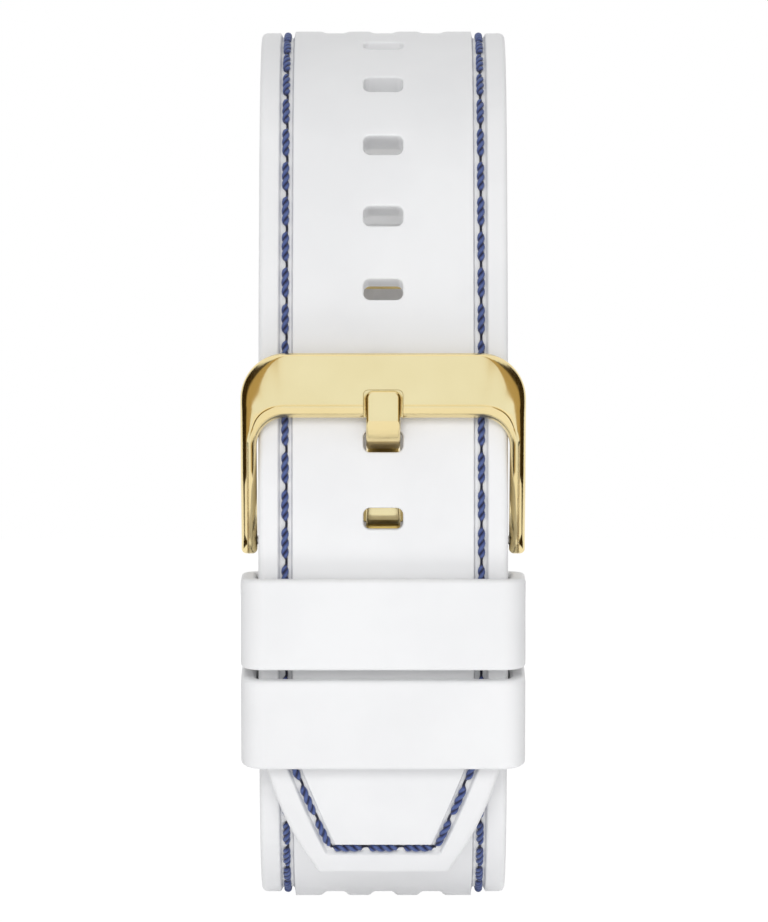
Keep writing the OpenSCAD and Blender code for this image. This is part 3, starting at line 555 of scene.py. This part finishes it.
def makeTailStrap():
    thick, length = loop["tail"], lengthUpTo(tailPath, 4)
    holeA = math.asin((strap["tongueHoleZ"] - frontZ) / frontR)
    first = lengthUpTo(tailPath, 1) + (lowA + holeA) * frontR - strap["holePitch"]
    places = [first + k * strap["holePitch"] for k in range(strap["holes"])]
    blank = meshObject(strapBlank(thick, length), "tailStrap")
    cutAway(blank, holeCutter(places, thick))
    bm = bmesh.new()
    bm.from_mesh(blank.data)
    w, run = strap["grooveHalf"], tip["run"]
    crest = lengthUpTo(tailPath, 3)
    extra = [0.03, 0.12, 0.28, 0.5, 0.7, run - w, run - w + 0.08, run - w + 0.16, run - w + 0.25,
             run + w - 0.25, run + w - 0.16, run + w - 0.08, run + w,
             crest - 3.4, crest - 3.0, crest - 2.4, crest - 1.8]
    extra += [0.95 + 0.5 * i for i in range(28)]
    cutRows(bm, rowsAlong(tailPath, extra))
    raiseRibs(bm, strap["ribTop"], lambda s: smoothStep((s - crest + 3.4) / 2.0))
    shapeTip(bm, thick)
    wrapMesh(bm, tailPath)
    lugEnd(bm, loop["lugY"], loop["lugZ"], quarter + tailRearA, thick)
    bmesh.ops.recalc_face_normals(bm, faces=bm.faces)
    bm.to_mesh(blank.data)
    bm.free()
    return finishPiece(blank, silicone, "watch", ["tail_strap"], 32)


barLoop = {"start": 1.75, "end": 10.9, "radius": 1.7, "slotWide": 3.4, "slotLong": 4.6}


def makeBuckleStrap():
    thick, length = loop["under"], lengthUpTo(underPath, 3)
    blank = meshObject(strapBlank(thick, length), "buckleStrap")
    slot = bmesh.new()
    size = Matrix.Diagonal((barLoop["slotWide"], barLoop["slotLong"], 12, 1))
    bmesh.ops.create_cube(slot, size=1, matrix=Matrix.Translation((0, length, 0)) @ size)
    cutAway(blank, meshObject(slot, "slotCutter"))
    bm = bmesh.new()
    bm.from_mesh(blank.data)
    low = lengthUpTo(underPath, 1)
    cutRows(bm, rowsAlong(underPath, [low + 2.6, low + 3.2, low + 3.8, low + 4.4, low + 5.0]))
    raiseRibs(bm, strap["ribLow"], lambda s: smoothStep((low + 5.0 - s) / 2.4))
    wrapMesh(bm, underPath)
    lugEnd(bm, loop["lugY"], -loop["lugZ"], -quarter - underRearA, thick)
    for side in (-1, 1):  # the loop round the buckle's bar, open in the middle for the tongue
        addTube(bm, barLoop["start"] * side, barLoop["end"] * side, pivotY, pivotZ, barLoop["radius"])
    bmesh.ops.recalc_face_normals(bm, faces=bm.faces)
    bm.to_mesh(blank.data)
    bm.free()
    return finishPiece(blank, silicone, "watch", ["buckle_strap"], 32)


makeTailStrap()
makeBuckleStrap()
print("straps made")


stitch = {"pitch": 3.3, "plyR": 0.24, "plyOut": 0.12, "turns": 2.0, "steps": 28, "body": 1.12,
          "neck": 0.36, "neckShift": 0.13, "dive": 0.08, "lift": 0.17, "sides": 8}


# One stitch and half a gap each side: along y, out in z, with a painted shade for each vertex
def stitchTemplate():
    bm = bmesh.new()
    pitch = stitch["pitch"]
    for start in (0, math.pi):
        out = bmesh.ops.create_circle(bm, segments=stitch["sides"], radius=stitch["plyR"])
        r = stitch["plyOut"]
        place = Matrix.Translation((r * math.cos(start), -pitch / 2, r * math.sin(start)))
        bmesh.ops.transform(bm, matrix=place @ Matrix.Rotation(quarter, 4, "X"), verts=out["verts"])
        edges = list({e for v in out["verts"] for e in v.link_edges})
        bmesh.ops.spin(bm, geom=out["verts"] + edges, cent=(0, 0, 0), axis=(0, 1, 0),
                       space=Matrix.Identity(4), dvec=(0, pitch / stitch["steps"], 0),
                       angle=stitch["turns"] * 2 * math.pi, steps=stitch["steps"], use_duplicate=False)
    shade = []
    bm.verts.ensure_lookup_table()
    bm.verts.index_update()
    for v in bm.verts:
        reach = math.hypot(v.co.x, v.co.z) / (stitch["plyR"] + stitch["plyOut"])
        fade = smoothStep((abs(v.co.y) - stitch["body"]) / (pitch / 2 - 0.15 - stitch["body"]))
        size = (1 + (stitch["neck"] - 1) * fade) * (1 - 0.1 * min(1, abs(v.co.y) / stitch["body"]) ** 2)
        v.co.x *= size
        v.co.z = v.co.z * size - stitch["dive"] * fade
        # Painted shade: darker towards the thread's axis in the creases between the plies, and dark in the
        # gap where the thread dives into the strap
        shade.append((max(0.0, min(1.0, (reach - 0.6) / 0.36)) * (1 - fade) ** 1.2, fade))
    edgesOpen = [e for e in bm.edges if e.is_boundary]
    bmesh.ops.holes_fill(bm, edges=edgesOpen, sides=stitch["sides"])
    mesh = bpy.data.meshes.new("stitchTemplate")
    bm.to_mesh(mesh)
    bm.free()
    return mesh, shade


template, templateShade = stitchTemplate()


def addStitch(bm, layer, path, s, x, lean=0.0, scale=1.0, pull=0.0):
    first = len(bm.verts)
    bm.from_mesh(template)
    bm.verts.ensure_lookup_table()
    turn = Matrix.Rotation(lean, 3, "Z")
    for v, (shade, fade) in zip(bm.verts[first:], templateShade):
        v[layer] = shade
        co = turn @ Vector((v.co.x + pull * fade, v.co.y * scale, v.co.z))
        v.co = wrapPoint(path, Vector((x + co.x, s + co.y, co.z + stitch["lift"] - strap["grooveDeep"])))


def stitchRow(bm, layer, path, start, end):
    count = max(1, int((end - start) / stitch["pitch"]))
    step = (end - start) / count
    for i in range(count):
        for side in (-1, 1):
            addStitch(bm, layer, path, start + (i + 0.5) * step, side * strap["groove"], 0.0,
                      step / stitch["pitch"], stitch["neckShift"] if side < 0 else 0.0)


def finishStitching(bm, name, node):
    bmesh.ops.recalc_face_normals(bm, faces=bm.faces)
    return finishPiece(meshObject(bm, name), thread, "watch", [node], 60)


def makeTailStitching():
    bm = bmesh.new()
    # This layer holds the stitches' painted shade
    layer = bm.verts.layers.float.new("plyPaintedShade")
    stitchRow(bm, layer, tailPath, tip["bend"], lengthUpTo(tailPath, 4) - 0.5)
    rise, across = tip["bend"] - tip["run"], strap["groove"] - tip["runHalf"]
    lean, length = math.atan2(across, rise), math.hypot(rise, across)
    count = 3
    for side in (-1, 1):
        for i in range(count):
            k = (i + 0.5) / count
            addStitch(bm, layer, tailPath, tip["run"] + rise * k, side * (tip["runHalf"] + across * k),
                      -side * lean, length / count / stitch["pitch"], -side * stitch["neckShift"])
    for i in (-1, 0, 1):
        addStitch(bm, layer, tailPath, tip["run"], i * 2 * tip["runHalf"] / 3, quarter,
                  2 * tip["runHalf"] / 3 / stitch["pitch"], stitch["neckShift"])
    return finishStitching(bm, "tailStitching", "tail_stitching")


def makeBuckleStitching():
    bm = bmesh.new()
    # This layer holds the stitches' painted shade
    layer = bm.verts.layers.float.new("plyPaintedShade")
    stitchRow(bm, layer, underPath, 0.5, lengthUpTo(underPath, 3) - 2.6)
    return finishStitching(bm, "buckleStitching", "buckle_stitching")


makeTailStitching()
makeBuckleStitching()
print("stitching made")


buckle = {"half": 12.55, "gapHalf": 11.15, "low": 3.8, "high": 9.5, "outerR": 4.0, "innerR": 2.5,
          "barHalf": 0.95, "barGap": 0.3, "legR": 1.2, "shoulder": 1.9, "notchHalf": 1.75,
          "notchHigh": 2.45, "notchDeep": 0.9, "notchR": 0.45, "notchEdge": 0.13,
          "legOut": 0.72, "legIn": 0.62, "barOut": 0.35, "frontDeep": 0.85, "backR": 0.4}


# Where the front face's curve is at a height, moved out by off
def faceAt(z, off):
    return frontY - math.sqrt((frontR + off) ** 2 - (z - frontZ) ** 2)


# Middle depth and half thickness of the frame at a height, seen from the side
def frameProfile(z):
    barAt = buckle["barGap"] + buckle["barHalf"]
    low, high = buckle["low"] + buckle["barHalf"], buckle["high"] - buckle["barHalf"]
    midZ = (pivotZ + buckle["low"]) / 2
    stations = [(pivotZ, pivotY, buckle["legR"]), (midZ, faceAt(midZ, -1.4), buckle["legR"] + 0.05),
                (low, faceAt(low, barAt), buckle["barHalf"]), (high, faceAt(high, barAt), buckle["barHalf"])]
    if z <= stations[0][0]:
        return stations[0][1], stations[0][2]
    for (z0, y0, h0), (z1, y1, h1) in zip(stations, stations[1:]):
        if z <= z1:
            k = (z - z0) / (z1 - z0)
            return y0 + (y1 - y0) * k, h0 + (h1 - h0) * k
    return stations[-1][1], stations[-1][2]


# Inner and outer points round one side of the frame, with the size of its front roundings
def frameStations():
    b = buckle
    inC = Vector((b["gapHalf"] - b["innerR"], b["low"] - b["innerR"]))
    outC = Vector((b["half"] - b["outerR"], b["high"] - b["outerR"]))
    straight, bend = outC.y - inC.y, b["outerR"] * quarter
    rows = []
    for i in range(15):  # the leg
        z = pivotZ + (inC.y - pivotZ) * i / 15
        rows.append((Vector((b["gapHalf"], z)), Vector((b["half"], z)), b["legOut"], b["legIn"]))
    for i in range(25):  # the corner
        k = i / 24
        way = k * (straight + bend)
        a = max(0.0, (way - straight) / b["outerR"])
        if way > straight:
            outer = outC + b["outerR"] * Vector((math.cos(a), math.sin(a)))
        else:
            outer = Vector((b["half"], inC.y + way))
        inner = inC + b["innerR"] * Vector((math.cos(quarter * k), math.sin(quarter * k)))
        square = (outer - inner).normalized().dot(Vector((math.cos(a), math.sin(a))))
        wide = b["legOut"] + (b["shoulder"] - b["legOut"]) * smoothStep((k - 0.08) / 0.3)
        wide = wide + (b["barOut"] - wide) * smoothStep((k - 0.62) / 0.38)
        rows.append((inner, outer, wide / max(square, 0.3), b["legIn"] + 0.38 * smoothStep(k * 1.6)))
    for i in range(1, 11):  # half of the bar
        x = 1 - i / 10
        rows.append((Vector((inC.x * x, b["low"])), Vector((outC.x * x, b["high"])), b["barOut"], 1.0))
    return rows


# One section of the frame: each corner is (place, front or back, width, depth) of its rounding
def frameRing(inner, outer, frontOut, frontIn, sign):
    span = (outer - inner).length
    bead = smoothStep((frontIn - buckle["legIn"]) / 0.3)
    front, back = buckle["frontDeep"], buckle["backR"]
    corners = [(span, 1, min(frontOut, span * 0.52), front), (0, 1, min(frontIn, span * 0.44), front),
               (0, -1, back, back), (span, -1, back, back)]
    ring = []
    for k, (u, v, wide, deep) in enumerate(corners):
        if k == 1:  # a shallow line between the flat face and the rounded lower edge
            line = [(0.26, 0.0), (0.17, -0.03), (0.1, -0.075), (0.04, -0.05)]
            points = [(wide + x, 1, y * bead, 0.0, 0.0) for x, y in line]
        else:
            points = []
        for i in range(9):
            a = math.radians(90 * k + 11.25 * i)
            cu = u + (-wide if k in (0, 3) else wide)
            points.append((cu + wide * math.cos(a), v, 0.0, deep, deep * abs(math.sin(a))))
        for x, side, sink, depth, rise in points:
            flat = inner + (outer - inner) * (x / span)
            middle, thick = frameProfile(flat.y)
            depth = min(depth, thick * 0.98) if depth else 0.0
            rise = rise / deep * depth if depth else 0.0
            ring.append(Vector((sign * flat.x, middle - side * (thick - depth + rise) - sink, flat.y)))
    return ring


def makeFrame():
    bm = bmesh.new()
    side = frameStations()
    rows = [(r, 1) for r in side] + [(r, -1) for r in reversed(side[:-1])]
    rings = []
    for (inner, outer, frontOut, frontIn), sign in rows:
        rings.append(ringFromPoints(bm, frameRing(inner, outer, frontOut, frontIn, sign)))
    for (_, low), (_, high) in zip(rings, rings[1:]):
        bmesh.ops.bridge_loops(bm, edges=low + high)
    for end in (rings[0], rings[-1]):  # round foot round the pivot
        face = bm.faces.new(end[0])
        grown = [face]
        legX = math.copysign((buckle["gapHalf"] + buckle["half"]) / 2, end[0][0].co.x)
        lastY, lastX = 1.0, 1.0
        for k in range(1, 9):
            a = quarter * k / 8
            out = bmesh.ops.extrude_face_region(bm, geom=grown)
            bmesh.ops.delete(bm, geom=grown, context="FACES_ONLY")
            verts = [g for g in out["geom"] if isinstance(g, bmesh.types.BMVert)]
            grown = [g for g in out["geom"] if isinstance(g, bmesh.types.BMFace)]
            nowY = max(0.05, math.cos(a))
            nowX = 1 - roundDrop(0.45, buckle["legR"] * (1 - math.sin(a))) / 0.7
            for v in verts:
                v.co.z = pivotZ - buckle["legR"] * math.sin(a)
                v.co.y = pivotY + (v.co.y - pivotY) * nowY / lastY
                v.co.x = legX + (v.co.x - legX) * nowX / lastX
            lastY, lastX = nowY, nowX
    bmesh.ops.recalc_face_normals(bm, faces=bm.faces)
    obj = meshObject(bm, "buckleFrame")
    b = buckle
    cut = bmesh.new()
    zTop, zLow = b["low"] + b["notchHigh"], b["low"] - 1.2
    depth = b["barGap"] + 2 * b["barHalf"] - b["notchDeep"]
    out = bmesh.ops.create_cube(cut, size=1)
    for v in out["verts"]:
        high = v.co.z > 0
        z = zTop if high else zLow
        y = faceAt(z, depth) if v.co.y > 0 else faceAt(z, depth + 3)
        v.co = Vector((b["notchHalf"] * (1 if v.co.x > 0 else -1), y, z))
    edges = [e for e in cut.edges if abs(e.verts[0].co.x - e.verts[1].co.x) < 1e-6
             and max(v.co.z for v in e.verts) > zTop - 0.01 and min(v.co.z for v in e.verts) > zTop - 0.5]
    bmesh.ops.bevel(cut, geom=edges, offset=b["notchR"], offset_type="OFFSET", segments=5, profile=0.5,
                    affect="EDGES", material=-1)
    cutAway(obj, meshObject(cut, "notchCutter"))
    bm = bmesh.new()
    bm.from_mesh(obj.data)
    rim = [e for e in bm.edges if len(e.link_faces) == 2 and e.calc_face_angle(0) > math.radians(38)
           and max(abs(v.co.x) for v in e.verts) < b["notchHalf"] + 0.3
           and min(v.co.z for v in e.verts) > b["low"] - 0.5 and max(v.co.z for v in e.verts) < zTop + 0.3]
    bmesh.ops.bevel(bm, geom=rim, offset=b["notchEdge"], offset_type="OFFSET", segments=3, profile=0.5,
                    affect="EDGES", material=-1, clamp_overlap=True)
    bm.to_mesh(obj.data)
    bm.free()
    return finishPiece(obj, gold, "buckle_frame_body", ["buckle_frame"], 40)


tongue = {"wide": 3.0, "thick": 1.1, "edge": 0.22, "corner": 0.6, "eye": 1.55}


def tonguePath():
    b = buckle
    inside = -loop["tail"] - loop["gap"] - tongue["thick"] / 2
    outside = b["barGap"] + 2 * b["barHalf"] - b["notchDeep"] + tongue["thick"] / 2 + 0.1
    hole = strap["tongueHoleZ"]
    top = b["low"] + b["notchHigh"] - 0.15
    spots = [(pivotY, pivotZ + 0.9)]
    for z, off in [(pivotZ + 2.1, inside), (hole - 0.5, inside), (hole + 0.05, -loop["tail"] / 2),
                   (hole + 0.4, 0.4), (b["low"] - 0.15, outside), (top, outside)]:
        spots.append((faceAt(z, off), z))
    points = [Vector(p) for p in spots]
    for _ in range(3):  # cut the corners so that the strip bends softly
        cut = [points[0]]
        for p, q in zip(points, points[1:]):
            step = min(0.25, 0.22 / max((q - p).length, 1e-6) * 1.2)
            cut += [p + (q - p) * step, p + (q - p) * (1 - step)]
        points = cut + [points[-1]]
    return points


def makeTongue():
    points = tonguePath()
    lengths = [0.0]
    for p, q in zip(points, points[1:]):
        lengths.append(lengths[-1] + (q - p).length)
    total = lengths[-1]
    bm = bmesh.new()
    size = Matrix.Diagonal((tongue["wide"], total, tongue["thick"], 1))
    bmesh.ops.create_cube(bm, size=1, matrix=Matrix.Translation((0, total / 2, 0)) @ size)
    corner = [e for e in bm.edges if all(v.co.y > total - 0.01 for v in e.verts)
              and abs(e.verts[0].co.z - e.verts[1].co.z) > 0.1]
    bmesh.ops.bevel(bm, geom=corner, offset=tongue["corner"], offset_type="OFFSET", segments=5, profile=0.5,
                    affect="EDGES", material=-1)
    rim = [e for e in bm.edges if e.calc_face_angle(0) > math.radians(60)]
    bmesh.ops.bevel(bm, geom=rim, offset=tongue["edge"], offset_type="OFFSET", segments=4, profile=0.5,
                    affect="EDGES", material=-1)
    cutRows(bm, [s for s in lengths[1:-1] if 0.3 < s < total - 0.3] + [total * i / 40 for i in range(1, 40)])
    for v in bm.verts:
        s = min(max(v.co.y, 0.0), total)
        i = max(k for k in range(len(lengths) - 1) if lengths[k] <= s + 1e-9)
        p, q = points[i], points[i + 1]
        way = (q - p).normalized()
        if lengths[i + 1] - s < 1e-6 and i + 2 < len(points):
            way = (way + (points[i + 2] - q).normalized()).normalized()
        elif s - lengths[i] < 1e-6 and i > 0:
            way = (way + (p - points[i - 1]).normalized()).normalized()
        k = (s - lengths[i]) / max(lengths[i + 1] - lengths[i], 1e-9)
        at = p + (q - p) * k + way * (v.co.y - s)
        v.co = Vector((v.co.x, at.x - way.y * v.co.z, at.y + way.x * v.co.z))
    addTube(bm, -tongue["wide"] / 2, tongue["wide"] / 2, pivotY, pivotZ, tongue["eye"])
    bmesh.ops.recalc_face_normals(bm, faces=bm.faces)
    return finishPiece(meshObject(bm, "buckleTongue"), gold, "buckle_tongue_body",
                       ["buckle_tongue"], 40)


makeFrame()
makeTongue()
print("buckle made")


keeper = {"long": 7.95, "lower": 0.33, "wall": 1.35, "gap": 0.2, "back": 0.45, "z": -13.95,
          "step": 8.87, "outerR": 2.0, "innerR": 0.6, "edge": 0.34}


def makeKeeper(name, node, angle):
    k = keeper
    inside = loop["tail"] + loop["gap"] + loop["under"] + k["back"] + k["gap"]
    wide = 2 * strap["half"] + 2 * k["gap"]
    middle = k["gap"] - inside / 2
    bm = bmesh.new()
    rings = []
    for s in (-k["long"] / 2, k["long"] / 2):
        for grow, r in ((2 * k["wall"], k["outerR"]), (0, k["innerR"])):
            outline = roundedLoop(wide + grow, inside + grow, r, 8)
            rings.append(ringFromPoints(bm, [Vector((x, s, y + middle)) for x, y in outline])[1])
    closeTube(bm, rings)
    bmesh.ops.recalc_face_normals(bm, faces=bm.faces)
    rim = [e for e in bm.edges if e.calc_face_angle(0) > math.radians(60)
           and all(abs(abs(v.co.y) - k["long"] / 2) < 1e-4 for v in e.verts)]
    bmesh.ops.bevel(bm, geom=rim, offset=k["edge"], offset_type="OFFSET", segments=4, profile=0.5,
                    affect="EDGES", material=-1)
    cutRows(bm, [-3.5 + i for i in range(8)])
    path = [(frontY, frontZ, frontR, angle, angle + 1)]
    wrapMesh(bm, path)
    bmesh.ops.recalc_face_normals(bm, faces=bm.faces)
    return finishPiece(meshObject(bm, name), silicone, node + "_body", [node],
                       40, True)


keeperA = math.asin((keeper["z"] - frontZ) / frontR)
keeperA -= keeper["lower"] / frontR
makeKeeper("keeperUpper", "keeper_upper", keeperA)
makeKeeper("keeperLower", "keeper_lower", keeperA - keeper["step"] / frontR)
print("keepers made")


case = {"half": 12.0, "back": 24.0, "flatHalf": 17.4, "lugFoot": 22.43, "lugStart": 21.6}


# A merged copy of a node's mesh in millimetres
def solidCopy(node, name):
    bm = bmesh.new()
    bm.from_mesh(nodes[node].data)
    bmesh.ops.scale(bm, vec=(1000, 1000, 1000), verts=bm.verts)
    bmesh.ops.remove_doubles(bm, verts=bm.verts, dist=0.001)
    bmesh.ops.dissolve_limit(bm, angle_limit=math.radians(0.5), use_dissolve_boundaries=False,
                             verts=bm.verts, edges=bm.edges, delimit={"NORMAL"})
    bmesh.ops.recalc_face_normals(bm, faces=bm.faces)
    return meshObject(bm, name)


# The case with its back face level with the cover and only its lugs reaching lower
def makeCaseShell():
    obj = solidCopy("case_body", "caseShell")
    c = case
    bm = bmesh.new()
    outline = [(c["back"], -c["flatHalf"]), (c["back"], c["flatHalf"]), (c["lugFoot"], c["lugStart"]),
               (c["lugFoot"] - 4, c["lugStart"]), (c["lugFoot"] - 4, -c["lugStart"]),
               (c["lugFoot"], -c["lugStart"])]
    face = bm.faces.new([bm.verts.new((-c["half"], y, z)) for y, z in outline])
    out = bmesh.ops.extrude_face_region(bm, geom=[face])
    bmesh.ops.translate(bm, verts=[g for g in out["geom"] if isinstance(g, bmesh.types.BMVert)],
                        vec=(2 * c["half"], 0, 0))
    bmesh.ops.recalc_face_normals(bm, faces=bm.faces)
    cutAway(obj, meshObject(bm, "backCutter"))
    return finishPiece(obj, gold, "watch", ["case_body"], 30, True)


makeCaseShell()
print("case made")


studio = {"camera": 0.64, "shift": 0.00007, "lens": 284.0, "worldLight": 0.56, "lampSize": 0.6,
          "cardDistance": 0.055, "cardHigh": 0.06}
lamps = {"frontSoft": ((-0.12, -1.3, 0.5), 6.9), "backSoft": ((0.12, 1.4, 0.3), 8.8),
         "lowSoft": ((0.0, -0.75, -1.15), 4.6)}  # the low one shines through the floor, which casts no shadow
floorLook = {"colour": (0.92, 0.92, 0.925, 1), "glow": 1.06, "share": 0.93, "half": 3.0, "below": 0.0001}
cards = {"Front": (0.97, 1.04, 1.16), "Warm": (0.50, 0.37, 0.17), "Dark": (0.035, 0.022, 0.006)}


def emptyMaterial(name):
    mat = bpy.data.materials.new(name)
    mat.use_nodes = True
    nds, links = mat.node_tree.nodes, mat.node_tree.links
    nds.clear()
    return mat, nds, links, nds.new("ShaderNodeOutputMaterial").inputs["Surface"]


# 1 where the camera sees something, straight or by way of metal or glass
def seenRays(nds, links):
    ray = nds.new("ShaderNodeLightPath")
    seen = ray.outputs["Is Camera Ray"]
    for name in ("Is Glossy Ray", "Is Transmission Ray"):
        most = nds.new("ShaderNodeMath")
        most.operation = "MAXIMUM"
        links.new(seen, most.inputs[0])
        links.new(ray.outputs[name], most.inputs[1])
        seen = most.outputs[0]
    return seen


def floorMaterial():
    mat, nds, links, surface = emptyMaterial("paleFloor")
    diffuse = nds.new("ShaderNodeBsdfDiffuse")
    diffuse.inputs["Color"].default_value = floorLook["colour"]
    glow = nds.new("ShaderNodeEmission")
    glow.inputs["Strength"].default_value = floorLook["glow"]
    share = nds.new("ShaderNodeMath")
    share.operation = "MULTIPLY"
    share.inputs[1].default_value = floorLook["share"]
    links.new(seenRays(nds, links), share.inputs[0])
    mix = nds.new("ShaderNodeMixShader")
    links.new(share.outputs[0], mix.inputs[0])
    links.new(diffuse.outputs[0], mix.inputs[1])
    links.new(glow.outputs[0], mix.inputs[2])
    links.new(mix.outputs[0], surface)
    return mat


def makeFloor():
    bm = bmesh.new()
    height = cadBounds[0][2] - floorLook["below"]
    bmesh.ops.create_grid(bm, x_segments=1, y_segments=1, size=floorLook["half"],
                          matrix=Matrix.Translation((0, 0, height)))
    obj = meshObject(bm, "floor")
    obj.data.materials.append(floorMaterial())
    obj.visible_shadow = False


# A curved card that only polished metal sees, from one bearing to another off the buckle
def makeCard(name, start, end, colour):
    bm = bmesh.new()
    r, low, high = studio["cardDistance"], cadBounds[0][2] + 0.0005, studio["cardHigh"]
    a0, a1 = math.radians(start), math.radians(end)
    foot = [bm.verts.new((r * math.sin(a0), faceY * mm - r * math.cos(a0), z)) for z in (low, high)]
    edge = bm.edges.new(foot)
    bmesh.ops.spin(bm, geom=foot + [edge], cent=(0, faceY * mm, 0), axis=(0, 0, 1), angle=a1 - a0,
                   steps=16, space=Matrix.Identity(4), use_duplicate=False)
    obj = meshObject(bm, name)
    mat, nds, links, surface = emptyMaterial(name)
    glow = nds.new("ShaderNodeEmission")
    glow.inputs["Color"].default_value = (*colour, 1)
    links.new(glow.outputs[0], surface)
    obj.data.materials.append(mat)
    obj.visible_camera = obj.visible_diffuse = obj.visible_shadow = obj.visible_transmission = False


# Stands an object up in the scene, looking at the origin
def aimAtOrigin(name, data, place):
    obj = bpy.data.objects.new(name, data)
    bpy.context.scene.collection.objects.link(obj)
    obj.location = place
    obj.rotation_euler = (-Vector(place)).to_track_quat("-Z", "Y").to_euler()
    return obj


def makeStage():
    makeFloor()
    makeCard("cardFront", -16, 16, cards["Front"])
    for name, way in (("Left", -1), ("Right", 1)):
        makeCard("cardWarm" + name, way * 19, way * 52, cards["Warm"])
        makeCard("cardDark" + name, way * 52, way * 104, cards["Dark"])

    world = bpy.data.worlds.new("studio")
    bpy.context.scene.world = world
    world.use_nodes = True
    nds, links = world.node_tree.nodes, world.node_tree.links
    background = nds["Background"]
    background.inputs["Color"].default_value = (1, 1, 1, 1)
    strength = rangeNode(nds, links, seenRays(nds, links), studio["worldLight"], 1.0)
    links.new(strength.outputs["Result"], background.inputs["Strength"])

    for name, (place, power) in lamps.items():
        light = bpy.data.lights.new(name, "AREA")
        light.shape, light.size, light.energy = "DISK", studio["lampSize"], power
        aimAtOrigin(name, light, place).visible_glossy = False

    camera = bpy.data.cameras.new("camera")
    camera.lens, camera.sensor_width, camera.sensor_fit = studio["lens"], 36.0, "AUTO"
    camera.clip_start, camera.clip_end = 0.01, 20
    eye = bpy.data.objects.new("camera", camera)
    bpy.context.scene.collection.objects.link(eye)
    eye.location = (studio["shift"], faceY * mm - studio["camera"], 0.0)
    eye.rotation_euler = (quarter, 0, 0)
    bpy.context.scene.camera = eye
    bpy.context.scene.view_settings.view_transform = "Standard"


makeStage()
print("stage made")
